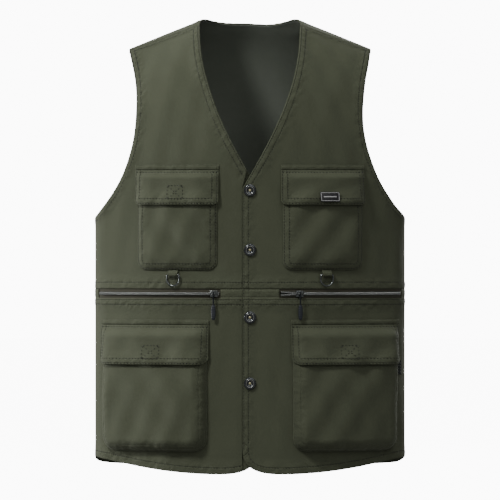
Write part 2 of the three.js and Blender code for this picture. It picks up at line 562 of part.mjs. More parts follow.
// ---------- zips ----------
function zip(name, mirror) {
  const { z, inner, outer, tape, neck, coil } = ZIP;
  const slit = (x1, height) => sheet((s, t) => onFront(mirror, lerp(inner, x1, s),
    z + lerp(-0.5, 0.5, t) * height, 4), even(4), [0, 1], 9);
  const tapeSheet = sheet((s, t) => onFront(mirror, lerp(inner - 4, outer + 1, s),
    z + (t - 0.5) * tape, -ZIP.tapeInset), even(14), even(2), ZIP.tapeThick);
  const back = -ZIP.tapeInset + 0.35;
  const rail = sweepRound([
    [0.1, coil / 2], [0.1, neck / 2], [back, neck / 2], [back, -neck / 2], [0.1, -neck / 2],
    [0.1, -coil / 2], [0.1 + ZIP.coilThick, -coil / 2], [0.1 + ZIP.coilThick, coil / 2],
  ].map(([out, up]) => [out, z + up]), mirror * inner, mirror * outer, 14);
  // The left zip is drawn open as far as its slider, so its two rows of teeth part there.
  const open = mirror > 0 ? SLIDER.left - SLIDER.length : 0;
  add(`${name}_zip_tape`, open ? subtract(tapeSheet, slit(open, 1)) : tapeSheet, hookTape);
  add(`${name}_zip_coil`, rail, darkMetal);

  const front = 0.1 + ZIP.coilThick + 0.4;
  const half = SLIDER.height / 2;
  const inside = coil / 2 + 0.45;
  const lip = neck / 2 + 0.45;
  const behind = -ZIP.tapeInset + 0.4;
  const at0 = mirror > 0 ? SLIDER.left : SLIDER.right;
  const body = sweepRound([
    [behind, lip], [-0.3, lip], [-0.3, inside], [front, inside], [front, -inside], [-0.3, -inside],
    [-0.3, -lip], [behind, -lip], [behind, -half], [front + SLIDER.wall, -half],
    [front + SLIDER.wall, half], [behind, half],
  ].map(([out, up]) => [out, z + up]), at0 - SLIDER.length / 2, at0 + SLIDER.length / 2, 2);
  const top = front + SLIDER.wall;
  const arch = new THREE.Shape().moveTo(-4, -0.4).lineTo(4, -0.4).lineTo(3.4, 3.9).lineTo(-3.4, 3.9);
  arch.holes.push(new THREE.Path().moveTo(-2.6, 0.02).lineTo(-2.2, 2.6).lineTo(2.2, 2.6).lineTo(2.6, 0.02));
  const bridge = round(new THREE.ExtrudeGeometry(arch, { depth: 1.2, bevelEnabled: false })
    .translate(0, 0, -0.6).rotateX(Math.PI / 2).translate(0, -HALF_DEPTH - top, z), at0);
  add(`${name}_zip_slider`, join(body, bridge), darkMetal);

  // The puller's cord passes round the bar of the bridge and hangs from it.
  const bar = top + 3.25;
  const wide = 1.9;
  const oval = new THREE.Path().absarc(0, 0, wide, 0, Math.PI).lineTo(-wide, -PULLER.loop + wide)
    .absarc(0, -PULLER.loop + wide, wide, Math.PI, 2 * Math.PI).lineTo(wide, 0);
  const loop = new THREE.CatmullRomCurve3(oval.getSpacedPoints(16).slice(0, -1)
    .map((p) => new THREE.Vector3(0, p.x, p.y)), true);
  const cord = new THREE.TubeGeometry(loop, 16, PULLER.cord * 0.7, 6, true);
  const grip = new THREE.CapsuleGeometry(PULLER.gripWidth / 2, PULLER.grip - PULLER.gripWidth, 3, 10)
    .scale(1, 1, PULLER.gripThick / PULLER.gripWidth).rotateX(Math.PI / 2);
  const neckCord = new THREE.CylinderGeometry(1.3, 1.3, 10, 8).rotateX(Math.PI / 2);
  neckCord.translate(0, 0, -PULLER.loop - 4.6);
  grip.translate(0, 0, -PULLER.loop - 7.5 - PULLER.grip / 2);
  add(`${name}_zip_puller`, round(join(cord, neckCord, grip)
    .translate(0, -HALF_DEPTH - bar, z), at0), darkPlastic);

  const { inset, thick, wall } = ZIP_BAG;
  const pouch = sheet((s, t) => onFront(mirror, lerp(ZIP_BAG.inner, ZIP_BAG.outer, s),
    lerp(ZIP_BAG.bottom, z + 9, t), -inset), even(6), even(2), thick);
  const room = sheet((s, t) => onFront(mirror, lerp(ZIP_BAG.inner + 1, ZIP_BAG.outer - 1, s),
    lerp(ZIP_BAG.bottom + 1, z + 12, t), -inset - wall), even(6), even(2), thick - 2 * wall);
  const mouth = sheet((s, t) => onFront(mirror, lerp(ZIP_BAG.inner + 1, ZIP_BAG.outer - 1, s),
    lerp(z - ZIP.opening / 2, z + 12, t), 0), even(6), [0, 1], thick - wall);
  add(`${name}_zip_bag`, subtract(pouch, room, mouth), liningCloth);
}

// ---------- D-rings ----------
function dRing(name, mirror) {
  const { half, drop, wire } = RING;
  const bend = 2.5;
  const outline = new THREE.Path().moveTo(-half + bend, 0).lineTo(half - bend, 0)
    .absarc(half - bend, -bend, bend, Math.PI / 2, 0, true)
    .lineTo(half, half - drop)
    .absarc(0, half - drop, half, 0, -Math.PI, true)
    .lineTo(-half, -bend)
    .absarc(-half + bend, -bend, bend, Math.PI, Math.PI / 2, true);
  const curve = new THREE.CatmullRomCurve3(outline.getSpacedPoints(28).slice(0, -1)
    .map((p) => new THREE.Vector3(p.x, 0, p.y)), true);
  const place = (geometry) => round(
    geometry.translate(0, -HALF_DEPTH - RING.out, RING.z), mirror * RING.x);
  add(`${name}_d_ring`, place(new THREE.TubeGeometry(curve, 28, wire, 7, true)), darkMetal);

  const hole = wire + WEBBING.gap;
  const reach = hole + WEBBING.thick;
  const eye = new THREE.Shape().absarc(0, 0, reach, 0, 2 * Math.PI);
  eye.holes.push(new THREE.Path().absarc(0, 0, hole, 0, 2 * Math.PI, true));
  const fold = new THREE.ExtrudeGeometry(eye, { depth: WEBBING.width, bevelEnabled: false, curveSegments: 8 })
    .translate(0, 0, -WEBBING.width / 2).rotateY(Math.PI / 2);
  const tabHigh = CHEST.bottom - RING.z - 0.6;
  const tab = new THREE.BoxGeometry(WEBBING.width, 1.8, tabHigh)
    .translate(0, RING.out - 0.5 - 0.9, tabHigh / 2 + 0.1);
  add(`${name}_d_ring_loop`, place(join(fold.rotateX(Math.PI / 2), tab)), shellCloth);
}

// ---------- snaps ----------
function snap(z, i) {
  const inside = -FACING_INSET - CLOTH * 0.8;
  const { cap, capHigh, post, socket, cavity, stud, base } = SNAP;
  const seat = inside - 0.3;
  const rim = 0.4 + capHigh;
  add(`snap_cap_${i}`, turning([
    [0, 0.35 + inside], [post, 0.35 + inside], [post, 0.35], [cap, 0.35], [cap, 1.4], [cap - 1.2, rim - 0.3],
    [cap - 2.6, rim], [cap - 3.6, rim - 0.5], [cap - 4, rim - 1.1], [0, rim - 1.5],
  ], z, 16), darkMetal);
  const socketEnd = -STAND_INSET + 1;
  add(`snap_socket_${i}`, turning([
    [0, seat - 1], [cavity, seat - 1], [cavity, socketEnd], [socket, socketEnd], [socket, seat], [0, seat],
  ], z, 12), darkMetal);
  const standOut = -STAND_INSET;
  const standIn = -STAND_INSET - CLOTH * 0.8;
  add(`snap_stud_${i}`, turning([
    [0, standIn - 1.1], [base, standIn - 1.1], [base, standIn - 0.4], [post, standIn - 0.4],
    [post, standOut + 0.3], [base - 1, standOut + 0.3], [base - 1, standOut + 0.75],
    [stud, standOut + 0.75], [stud, seat - 1.35], [0, seat - 1.35],
  ], z, 12), darkMetal);
}

// ---------- build ----------
for (const [name, mirror] of sides) {
  frontPanels(name, mirror);
  frontLining(name, mirror);
  frontFacing(mirror > 0 ? "left_front_facing" : "right_button_stand", mirror);
  pocket(`${name}_chest`, CHEST, mirror);
  pocket(`${name}_cargo`, CARGO, mirror);
  zip(name, mirror);
  dRing(name, mirror);
}
back();
badge();
label();
SNAP_Z.forEach((z, i) => snap(z, i + 1));

export default vest;
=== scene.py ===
"""The sewn look of the fishing vest: dense cloth panels, stitching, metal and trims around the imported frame.

Lengths are in metres. The cloth surfaces use the same body shape and pattern as the CAD part.
"""
import bmesh
import bpy
import math
import numpy as np
from mathutils import Matrix, Vector


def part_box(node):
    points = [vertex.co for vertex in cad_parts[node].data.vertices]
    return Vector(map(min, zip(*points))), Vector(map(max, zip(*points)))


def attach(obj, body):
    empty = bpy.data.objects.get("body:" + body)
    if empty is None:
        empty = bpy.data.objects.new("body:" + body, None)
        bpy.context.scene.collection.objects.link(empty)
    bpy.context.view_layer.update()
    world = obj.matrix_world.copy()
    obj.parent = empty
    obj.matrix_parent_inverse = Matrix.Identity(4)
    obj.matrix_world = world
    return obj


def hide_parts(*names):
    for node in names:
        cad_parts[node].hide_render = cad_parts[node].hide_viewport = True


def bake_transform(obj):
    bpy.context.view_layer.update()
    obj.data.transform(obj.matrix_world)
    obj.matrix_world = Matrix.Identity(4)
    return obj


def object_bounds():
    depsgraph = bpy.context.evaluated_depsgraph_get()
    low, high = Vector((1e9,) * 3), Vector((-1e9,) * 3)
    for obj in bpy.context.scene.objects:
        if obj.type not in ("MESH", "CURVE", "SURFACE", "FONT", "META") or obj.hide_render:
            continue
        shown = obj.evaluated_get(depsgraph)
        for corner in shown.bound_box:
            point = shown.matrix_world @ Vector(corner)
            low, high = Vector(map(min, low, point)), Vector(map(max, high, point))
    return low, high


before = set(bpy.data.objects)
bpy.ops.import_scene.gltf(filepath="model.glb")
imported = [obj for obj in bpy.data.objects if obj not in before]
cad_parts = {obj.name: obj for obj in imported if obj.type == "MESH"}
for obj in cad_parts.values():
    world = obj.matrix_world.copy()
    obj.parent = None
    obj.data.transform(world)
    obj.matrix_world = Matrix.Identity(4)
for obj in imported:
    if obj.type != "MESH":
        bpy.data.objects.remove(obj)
cad_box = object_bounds()
SEED = 11

# ---------- body shape and pattern, as in the CAD part ----------
HALF_W = 0.218
HALF_D = 0.112
SIDE_R = 0.050
FALL = {-1: 0.200, 1: 0.150}
NECK_X, TIP_X = 0.071, 0.170
SLOPE, SOFT = 0.415, 0.030
ARMPIT_Z = -0.277
ARMHOLE_X, ARMHOLE_Z = 0.159, -0.125
BACK_NECK_Z = -0.008
V_NECK_Z = -0.237
PLACKET = -0.0105
HEM_SIDE, HEM_FRONT, HEM_BACK, HEM_CORNER = -0.613, -0.636, -0.622, 0.034
FRONT, BACK = -1, 1
ROOT = {-1: "garment", 1: "left_front"}
ZIP_Z = -0.384
ZIP_IN, ZIP_OUT, ZIP_GAP = 0.043, 0.211, 0.013
SEAM_Z = ZIP_Z + ZIP_GAP / 2
SLIDER_AT = {"right": 0.050, "left": 0.069}
SNAPS = [(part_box(f"snap_cap_{i}")[0].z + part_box(f"snap_cap_{i}")[1].z) / 2 for i in range(1, 5)]
RING_X, RING_Z = 0.1075, -0.3575

CHEST = dict(name="chest", inner=0.043, outer=0.159, top=-0.204, band=0.007, bottom=-0.351, depth=0.0095, mouth=0.8,
             flap=0.049, rise=0.012, corner=0.013, flap_corner=0.007, gusset=0.024)
CARGO = dict(name="cargo", inner=0.057, outer=0.207, top=-0.420, band=0.007, bottom=-0.604, depth=0.0185, mouth=0.65,
             flap=0.056, rise=0.017, corner=0.018, flap_corner=0.011, gusset=0.017)
BAG_INSET = 0.0025
FAR = Vector((0, 0, -0.4))  # a point inside the vest, which the cloth faces away from
ROW_EDGE, ROW_INNER = 0.002, 0.0085  # the two stitch rows from an edge
PAIR = (ROW_EDGE, ROW_INNER)

RUN = HALF_W - SIDE_R
R = (RUN ** 2 + HALF_D ** 2 - SIDE_R ** 2) / (2 * (HALF_D - SIDE_R))
CENTRE = R - HALF_D
TURN = math.asin(RUN / (R - SIDE_R))
U_TURN = R * TURN
U_SIDE = U_TURN + SIDE_R * (math.pi / 2 - TURN)


def smooth(x, a, b):
    t = np.clip((np.asarray(x, float) - a) / (b - a), 0, 1)
    return t * t * (3 - 2 * t)


def crest(x):
    soft = lambda q: np.hypot(q, SOFT) - SOFT
    return SLOPE * (soft(NECK_X) - soft(np.asarray(x, float)))


def seam_drop(x):
    return 0.008 + (np.abs(x) - NECK_X) / (TIP_X - NECK_X) * -0.004


def u_of(x):
    a = np.abs(x)
    reach = np.clip((a - RUN) / SIDE_R, -1, 1)
    u = np.where(a <= R * math.sin(TURN), R * np.arcsin(np.clip(a / R, -1, 1)),
                 U_TURN + SIDE_R * (np.arcsin(reach) - TURN))
    return np.sign(x) * u


def v_of(x, z, side):
    fall = FALL[side]
    drop = crest(x) - z
    arc = fall * np.arccos(np.clip(1 - np.maximum(drop, 0) / fall, -1, 1))
    return np.where(drop < fall, arc, fall * math.pi / 2 + drop - fall)


def at(x, z, side=FRONT):
    x, z = np.broadcast_arrays(np.asarray(x, float), np.asarray(z, float))
    return np.stack([u_of(x), v_of(x, z, side)], -1)


def drape(u, v, side):
    a = np.abs(u)
    flat = a < U_TURN
    swing = np.where(flat, a / R, TURN + (a - U_TURN) / SIDE_R)
    x = np.sign(u) * np.where(flat, R * np.sin(swing), RUN + SIDE_R * np.sin(swing))
    depth = np.where(flat, R * np.cos(swing) - CENTRE, SIDE_R * np.cos(swing))
    face = np.where(v < 0, -side, side)
    fall = np.where(face == FRONT, FALL[FRONT], FALL[BACK])
    w = np.abs(v)
    curved = w < fall * math.pi / 2
    share = np.where(curved, np.sin(np.minimum(w / fall, math.pi / 2)), 1)
    drop = np.where(curved, fall * (1 - np.cos(w / fall)), fall + w - fall * math.pi / 2)
    return np.stack([x, face * depth * share, crest(x) - drop], -1)


rng = np.random.default_rng(SEED)


def waves(count, long, tall):
    """Smooth random waves over the cloth: (frequency across, frequency down, phase, weight) each."""
    rows = []
    for _ in range(count):
        k = 2 * math.pi / (long * rng.uniform(0.7, 1.4))
        m = 2 * math.pi / (tall * rng.uniform(0.7, 1.5)) * rng.choice([-1, 1])
        rows.append((k, m, rng.uniform(0, 2 * math.pi), rng.uniform(0.5, 1)))
    return rows


def ripple(field, u, v):
    total = sum(w * np.sin(k * u + m * v + p) for k, m, p, w in field)
    return total / math.sqrt(sum(w * w for *_, w in field))


FOLDS = {FRONT: waves(6, 0.16, 0.34), BACK: waves(6, 0.17, 0.5)}
CREASES = {FRONT: waves(5, 0.05, 0.13), BACK: waves(5, 0.06, 0.2)}
SMALL = waves(7, 0.021, 0.034)


def fold(u, v, side):
    """How far the cloth stands off its pattern surface, in metres. It fades out where metal is fixed to it."""
    z = drape(u, v, side)[..., 2]
    x = np.abs(drape(u, v, side)[..., 0])
    shift = 0.0016 * ripple(FOLDS[side], u, v) + 0.0006 * ripple(CREASES[side], u, v)
    shift = shift * smooth(np.abs(U_SIDE - np.abs(u)), 0, 0.03)
    if side == FRONT:
        shift = shift * smooth(x, 0.02, 0.045)
        shift = shift * (1 - (1 - smooth(np.abs(z - ZIP_Z), 0.016, 0.045)) * (x < 0.215))
        ring = np.hypot(x - RING_X, z - RING_Z)
        shift = shift * smooth(ring, 0.018, 0.05)
        shift = shift * smooth(v, 0.02, 0.12)
    else:
        shift = shift * smooth(v, 0.02, 0.12) * 1.3
    return shift


def torso(u, v, side, out=0.0, folds=True):
    u, v, out = np.broadcast_arrays(np.asarray(u, float), np.asarray(v, float), np.asarray(out, float))
    h = 0.0005
    du = drape(u + h, v, side) - drape(u - h, v, side)
    dv = drape(u, v + h, side) - drape(u, v - h, side)
    n = np.cross(du, dv)
    n /= np.linalg.norm(n, axis=-1, keepdims=True)
    n *= -1 if side == FRONT else 1
    lift = out + (fold(u, v, side) if folds else 0)
    return drape(u, v, side) + n * lift[..., None]


def on_front(mirror, x, z, out, folds=True):
    x = np.asarray(x, float)
    return torso(mirror * u_of(x), v_of(x, z, FRONT), FRONT, out, folds)


# ---------- pattern edges ----------
def line(*points):
    return np.array(points, float)


def bezier(a, b, c, d, n=40):
    t = np.linspace(0, 1, n)[:, None]
    a, b, c, d = (np.array(p, float) for p in (a, b, c, d))
    return (1 - t) ** 3 * a + 3 * (1 - t) ** 2 * t * b + 3 * (1 - t) * t * t * c + t ** 3 * d


def along(points, t):
    """Points at shares t of a polyline's length."""
    step = np.r_[0, np.cumsum(np.linalg.norm(np.diff(points, axis=0), axis=1))]
    t = np.clip(t, 0, 1) * step[-1]
    return np.stack([np.interp(t, step, points[:, k]) for k in range(2)], -1)


def armhole_line():
    tip = (TIP_X, crest(TIP_X) - 0.004)
    return np.vstack([
        bezier((HALF_W, ARMPIT_Z), (ARMHOLE_X + 0.022, ARMPIT_Z + 0.042), (ARMHOLE_X, ARMHOLE_Z - 0.06),
               (ARMHOLE_X, ARMHOLE_Z)),
        bezier((ARMHOLE_X, ARMHOLE_Z), (ARMHOLE_X, ARMHOLE_Z + 0.025), (TIP_X - 0.007, tip[1] - 0.031), tip)[1:]])


def neckline(inset=0.0, end=NECK_X):
    return bezier((PLACKET + inset, V_NECK_Z), (0.032 + inset, -0.165), (end, -0.095),
                  (end, float(crest(end) - seam_drop(end))), 60)


def densify(points, step=0.003):
    length = np.linalg.norm(np.diff(points, axis=0), axis=1).sum()
    return along(points, np.linspace(0, 1, max(int(length / step), 2)))


def coons(bottom, top, left, right):
    """bottom(s), top(s), left(t), right(t) give pattern points. The result maps (s, t) arrays."""
    def patch(s, t):
        s, t = np.broadcast_arrays(s, t)
        S, T = s[..., None], t[..., None]
        c00, c10 = left(np.array(0.0)), right(np.array(0.0))
        c01, c11 = left(np.array(1.0)), right(np.array(1.0))
        return (left(t) * (1 - S) + right(t) * S + bottom(s) * (1 - T) + top(s) * T
                - c00 * (1 - S) * (1 - T) - c10 * S * (1 - T) - c01 * (1 - S) * T - c11 * S * T)
    return patch


def along_pattern(edge, pattern, t):
    step = np.r_[0, np.cumsum(np.linalg.norm(np.diff(edge, axis=0), axis=1))]
    t = np.clip(t, 0, 1) * step[-1]
    return np.stack([np.interp(t, step, pattern[:, k]) for k in range(2)], -1)


def distance(points, polyline):
    """Shortest distance from each pattern point to a polyline."""
    flat = points.reshape(-1, 2)
    best = np.full(len(flat), 9.0)
    for a, b in zip(polyline[:-1], polyline[1:]):
        d = b - a
        k = np.clip(((flat - a) @ d) / max(d @ d, 1e-12), 0, 1)
        best = np.minimum(best, np.linalg.norm(flat - a - k[:, None] * d, axis=1))
    return best.reshape(points.shape[:-1])


# ---------- meshes ----------
def mesh_object(name, points, faces, smooth_shade=True):
    mesh = bpy.data.meshes.new(name)
    mesh.from_pydata([tuple(p) for p in points], [], [tuple(f) for f in faces])
    mesh.polygons.foreach_set("use_smooth", [smooth_shade] * len(mesh.polygons))
    mesh.update()
    obj = bpy.data.objects.new(name, mesh)
    bpy.context.scene.collection.objects.link(obj)
    return obj


def normals(grid):
    n = np.cross(np.gradient(grid, axis=1), np.gradient(grid, axis=0))
    return n / np.maximum(np.linalg.norm(n, axis=-1, keepdims=True), 1e-12)


def border(cells):
    """Edges that belong to one cell only, in their order round that cell."""
    edges = np.concatenate([cells[:, [k, (k + 1) % 4]] for k in range(4)])
    _, first, count = np.unique(np.sort(edges, axis=1), axis=0, return_index=True, return_counts=True)
    return edges[first[count == 1]]


def field(obj, name, values):
    attribute = obj.data.attributes.new(name, "FLOAT", "POINT")
    attribute.data.foreach_set("value", values.astype(np.float32))


def cloth(name, grid, thick, look, body, outward, pattern=None, two=None, one=None, keep=None, replaces=(),
          square=None):
    """A sheet with a rounded rim. grid is its outer face, rows by columns. It faces away from the point outward.
    square is a row whose edge isn't rounded, because the cloth carries on past it."""
    n = normals(grid)
    rows, columns = grid.shape[:2]
    centre = (rows // 2, columns // 2)
    if n[centre] @ (grid[centre] - outward) < 0:
        n = -n
    rim = np.zeros((rows, columns))
    rim[0] = rim[-1] = 1
    rim[:, 0] = rim[:, -1] = 1
    if square is not None:
        rim[square, 1:-1] = 0
    inset = (rim * 0.32 * thick)[..., None]
    points = np.vstack([(grid - n * inset).reshape(-1, 3), (grid - n * (thick - inset)).reshape(-1, 3)])
    index = np.arange(rows * columns).reshape(rows, columns)
    cells = np.stack([index[:-1, :-1], index[:-1, 1:], index[1:, 1:], index[1:, :-1]], -1)
    cells = cells.reshape(-1, 4) if keep is None else cells[keep]
    across = grid[centre[0], centre[1] + 1] - grid[centre]
    down = grid[centre[0] + 1, centre[1]] - grid[centre]
    if np.cross(across, down) @ n[centre] < 0:
        cells = cells[:, ::-1]
    total = rows * columns
    edges = border(cells)
    walls = np.stack([edges[:, 1], edges[:, 0], edges[:, 0] + total, edges[:, 1] + total], -1)
    obj = mesh_object(name, points, np.vstack([cells, cells[:, ::-1] + total, walls]))
    if keep is not None:
        drop_loose(obj)
    elif pattern is None:
        pattern = flat_pattern(grid)
    if keep is None:
        paint_pattern(obj, pattern, two, one)
    else:
        used = np.unique(cells)
        flat = [v.reshape(total, -1)[used] for v in (pattern, two, one)]
        paint_pattern(obj, flat[0], flat[1][:, 0], flat[2][:, 0])
    return finish_piece(obj, look, body, replaces)


def flat_pattern(grid):
    """Lengths across and down the sheet, in metres."""
    across = np.cumsum(np.linalg.norm(np.diff(grid, axis=1, prepend=grid[:, :1]), axis=-1), axis=1)
    down = np.cumsum(np.linalg.norm(np.diff(grid, axis=0, prepend=grid[:1]), axis=-1), axis=0)
    return np.stack([across, down], -1)


def paint_pattern(obj, pattern, two, one):
    """Stores the cloth's own coordinates and its distance from the stitched edges, on both faces."""
    flat = np.concatenate([pattern.reshape(-1, 2)] * 2)
    weave = obj.data.attributes.new("weave", "FLOAT_VECTOR", "POINT")
    weave.data.foreach_set("vector", np.c_[flat, np.zeros(len(flat))].astype(np.float32).ravel())
    for key, values in (("seam_two", two), ("seam_one", one)):
        values = np.ones(len(flat) // 2) if values is None else values.ravel()
        field(obj, key, np.concatenate([values] * 2))


def drop_loose(obj):
    mesh = bmesh.new()
    mesh.from_mesh(obj.data)
    bmesh.ops.delete(mesh, geom=[v for v in mesh.verts if not v.link_faces], context="VERTS")
    mesh.to_mesh(obj.data)
    mesh.free()


def finish_piece(obj, look, body, replaces=()):
    obj.data.materials.append(look[0])
    if replaces:
        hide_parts(*replaces)
    if body == "blend":
        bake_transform(obj)
    else:
        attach(obj, body)
    return obj


# ---------- materials ----------
def nodes_of(name):
    material = bpy.data.materials.new(name)
    material.use_nodes = True
    tree = material.node_tree
    shader = tree.nodes["Principled BSDF"]
    return material, tree, shader


class Graph:
    """Short calls for building a node tree."""
    def __init__(self, tree):
        self.tree = tree

    def link(self, a, b):
        self.tree.links.new(a, b)

    def put(self, socket, value):
        if isinstance(value, bpy.types.NodeSocket):
            self.link(value, socket)
        else:
            socket.default_value = value

    def math(self, op, a, b=0.0, c=0.0, clamp=False):
        node = self.tree.nodes.new("ShaderNodeMath")
        node.operation = op
        node.use_clamp = clamp
        for socket, value in zip(node.inputs, (a, b, c)):
            self.put(socket, value)
        return node.outputs[0]

    def attribute(self, name, vector=False):
        node = self.tree.nodes.new("ShaderNodeAttribute")
        node.attribute_name = name
        return node.outputs["Vector" if vector else "Fac"]

    def noise(self, vector, scale, detail=2.0, rough=0.5):
        node = self.tree.nodes.new("ShaderNodeTexNoise")
        self.put(node.inputs["Vector"], vector)
        node.inputs["Scale"].default_value = scale
        node.inputs["Detail"].default_value = detail
        node.inputs["Roughness"].default_value = rough
        return node.outputs["Fac"]

    def stretch(self, vector, scale):
        node = self.tree.nodes.new("ShaderNodeMapping")
        self.put(node.inputs["Vector"], vector)
        node.inputs["Scale"].default_value = scale
        return node.outputs["Vector"]

    def wave(self, vector, scale, direction="X", kind="BANDS"):
        node = self.tree.nodes.new("ShaderNodeTexWave")
        node.wave_type = kind
        node.bands_direction = direction
        self.put(node.inputs["Vector"], vector)
        node.inputs["Scale"].default_value = scale
        node.inputs["Distortion"].default_value = 0.6
        node.inputs["Detail Scale"].default_value = 2.0
        return node.outputs["Fac"]

    def mix(self, factor, a, b):
        node = self.tree.nodes.new("ShaderNodeMix")
        node.data_type = "RGBA"
        self.put(node.inputs[0], factor)
        self.put(node.inputs[6], a)
        self.put(node.inputs[7], b)
        return node.outputs[2]

    def ramp(self, value, low, high):
        node = self.tree.nodes.new("ShaderNodeMapRange")
        node.interpolation_type = "SMOOTHSTEP"
        self.put(node.inputs["Value"], value)
        node.inputs["From Min"].default_value = low
        node.inputs["From Max"].default_value = high
        return node.outputs["Result"]

    def bump(self, height, distance, strength=1.0, normal=None):
        node = self.tree.nodes.new("ShaderNodeBump")
        node.inputs["Strength"].default_value = strength
        node.inputs["Distance"].default_value = distance
        self.link(height, node.inputs["Height"])
        if normal is not None:
            self.link(normal, node.inputs["Normal"])
        return node.outputs["Normal"]


def woven(name, slot_name, colour, rough=0.82, sheen=0.12, twill=True, seams=True, mottle=0.17, rows=PAIR):
    """Cloth with a weave, soft colour variation, and stitched grooves where the seam fields say; along the stitch rows
    the colour is darkened with painted shade.
    """
    material, tree, shader = nodes_of(name)
    g = Graph(tree)
    weave = g.attribute("weave", vector=True)
    fine = g.wave(g.stretch(weave, (1.0, 1.0, 1.0)), 560, "DIAGONAL" if twill else "X")
    cross = g.wave(weave, 640, "Y")
    grain = g.noise(g.stretch(weave, (1.0, 0.55, 1.0)), 620, 3.0, 0.65)
    soft = g.noise(weave, 26, 3.0, 0.55)
    thread = g.math("ADD", g.math("MULTIPLY", fine, 0.6), g.math("MULTIPLY", cross, 0.4))
    height = g.math("ADD", thread, g.math("MULTIPLY", grain, 1.4))
    dark = tuple(c * (1 - mottle) for c in colour) + (1,)
    light = tuple(c * (1 + mottle) for c in colour) + (1,)
    tone = g.mix(g.math("ADD", g.math("MULTIPLY", soft, 0.55), g.math("MULTIPLY", grain, 0.45)), dark, light)
    normal = g.bump(height, 0.00016, 0.7)
    if seams:
        two, one = g.attribute("seam_two"), g.attribute("seam_one")
        grooves = []
        for field, place in ((two, rows[0]), (two, rows[1]), (one, rows[1])):
            off = g.math("ABSOLUTE", g.math("SUBTRACT", field, place))
            grooves.append(g.math("SUBTRACT", 1.0, g.ramp(off, 0.0002, 0.0010)))
        groove = g.math("MAXIMUM", g.math("MAXIMUM", grooves[0], grooves[1]), grooves[2])
        nearest = g.math("MINIMUM", two, one)
        band = g.math("SUBTRACT", 1.0, g.ramp(nearest, 0.006, 0.022))
        pucker = g.noise(weave, 95, 2.0, 0.5)
        ridge = g.math("MULTIPLY", g.math("MULTIPLY", pucker, band), 3.2)
        relief = g.math("SUBTRACT", ridge, g.math("MULTIPLY", groove, 0.6))
        normal = g.bump(relief, 0.00075, 1.0, normal)
        worn = g.math("SUBTRACT", 1.0, g.ramp(nearest, 0.0002, 0.0013))
        pale = tuple(min(c * 1.45, 1) for c in colour) + (1,)
        tone = g.mix(g.math("MULTIPLY", worn, 0.3), tone, pale)
        # Painted shade: along each stitch row the colour darkens towards deep, partly for the thread's own colour and
        # partly for the shade that falls in the groove.
        deep = tuple(c * 0.42 for c in colour) + (1,)
        tone = g.mix(g.math("MULTIPLY", groove, 0.06), tone, deep)
    g.put(shader.inputs["Base Color"], tone)
    g.put(shader.inputs["Normal"], normal)
    g.put(shader.inputs["Roughness"], g.math("ADD", g.math("MULTIPLY", grain, 0.16), rough - 0.08))
    shader.inputs["Sheen Weight"].default_value = sheen
    shader.inputs["Sheen Roughness"].default_value = 0.45
    shader.inputs["Sheen Tint"].default_value = (0.9, 0.93, 0.8, 1)
    shader.inputs["Specular IOR Level"].default_value = 0.25
    return material, slot_name


def solid(name, slot_name, colour, rough, metal=0.0, coat=0.0, grain=700, relief=0.00005, wear=None):
    """Metal, plastic or rubber with fine grain, uneven gloss and, if wear is given, paler high spots."""
    material, tree, shader = nodes_of(name)
    g = Graph(tree)
    place = tree.nodes.new("ShaderNodeTexCoord").outputs["Object"]
    fine = g.noise(place, grain, 3.0, 0.6)
    broad = g.noise(place, 90, 2.0, 0.5)
    tone = g.mix(broad, tuple(c * 0.85 for c in colour) + (1,), tuple(min(c * 1.15, 1) for c in colour) + (1,))
    if wear:
        geometry = tree.nodes.new("ShaderNodeNewGeometry")
        edge = g.math("MULTIPLY", g.ramp(geometry.outputs["Pointiness"], 0.505, 0.56), g.ramp(fine, 0.35, 0.65))
        tone = g.mix(g.math("MULTIPLY", edge, 0.7), tone, tuple(wear) + (1,))
    g.put(shader.inputs["Base Color"], tone)
    g.put(shader.inputs["Roughness"], g.math("ADD", g.math("MULTIPLY", fine, 0.16), rough - 0.06))
    g.put(shader.inputs["Normal"], g.bump(fine, relief, 0.5))
    shader.inputs["Metallic"].default_value = metal
    shader.inputs["Coat Weight"].default_value = coat
    return material, slot_name


OLIVE = (0.070, 0.078, 0.048)
SHELL = woven("shell_twill", "shell_cloth", OLIVE)
# Painted light: the lining's colour is raised well above the shell's, to stand in for the light that reaches inside
# the vest.
LINING = woven("lining_satin", "lining_cloth", (0.125, 0.139, 0.113), rough=0.6, sheen=0.1, twill=False, mottle=0.06)
# Painted shade: the thread is near black, partly its own dark colour and partly the shade in its stitch holes.
THREAD = woven("dark_thread_painted_shade", "shell_cloth", (0.010, 0.0115, 0.0075), rough=0.7, sheen=0.3, seams=False)
HOOK = woven("hook_and_loop", "hook_tape", (0.04, 0.046, 0.032), rough=0.95, sheen=0.5, twill=False, seams=False)
TAPE = woven("zip_tape_weave", "zip_tape", (0.050, 0.048, 0.033), rough=0.8, twill=False, seams=False)
METAL = solid("gunmetal_plate", "gunmetal", (0.075, 0.086, 0.084), 0.22, metal=0.9, wear=(0.34, 0.35, 0.34))
TEETH = solid("zip_teeth_plate", "gunmetal", (0.36, 0.37, 0.36), 0.30, metal=0.8)
DARK = solid("gunmetal_dark", "gunmetal", (0.04, 0.045, 0.048), 0.2, metal=0.8, coat=0.6, wear=(0.32, 0.34, 0.34))
BRASS = solid("pale_inlay", "gunmetal", (0.5, 0.46, 0.27), 0.4, metal=0.6)
GRIP = solid("puller_rubber", "puller_plastic", (0.008, 0.011, 0.017), 0.5, relief=0.0001)
BADGE = solid("badge_rubber", "badge_rubber", (0.008, 0.008, 0.009), 0.4, grain=1500)
BADGE_LINE = solid("badge_frame_ink", "badge_rubber", (0.42, 0.42, 0.42), 0.5)
LABEL = woven("label_weave", "label_tape", (0.022, 0.026, 0.022), rough=0.7, twill=False, seams=False)
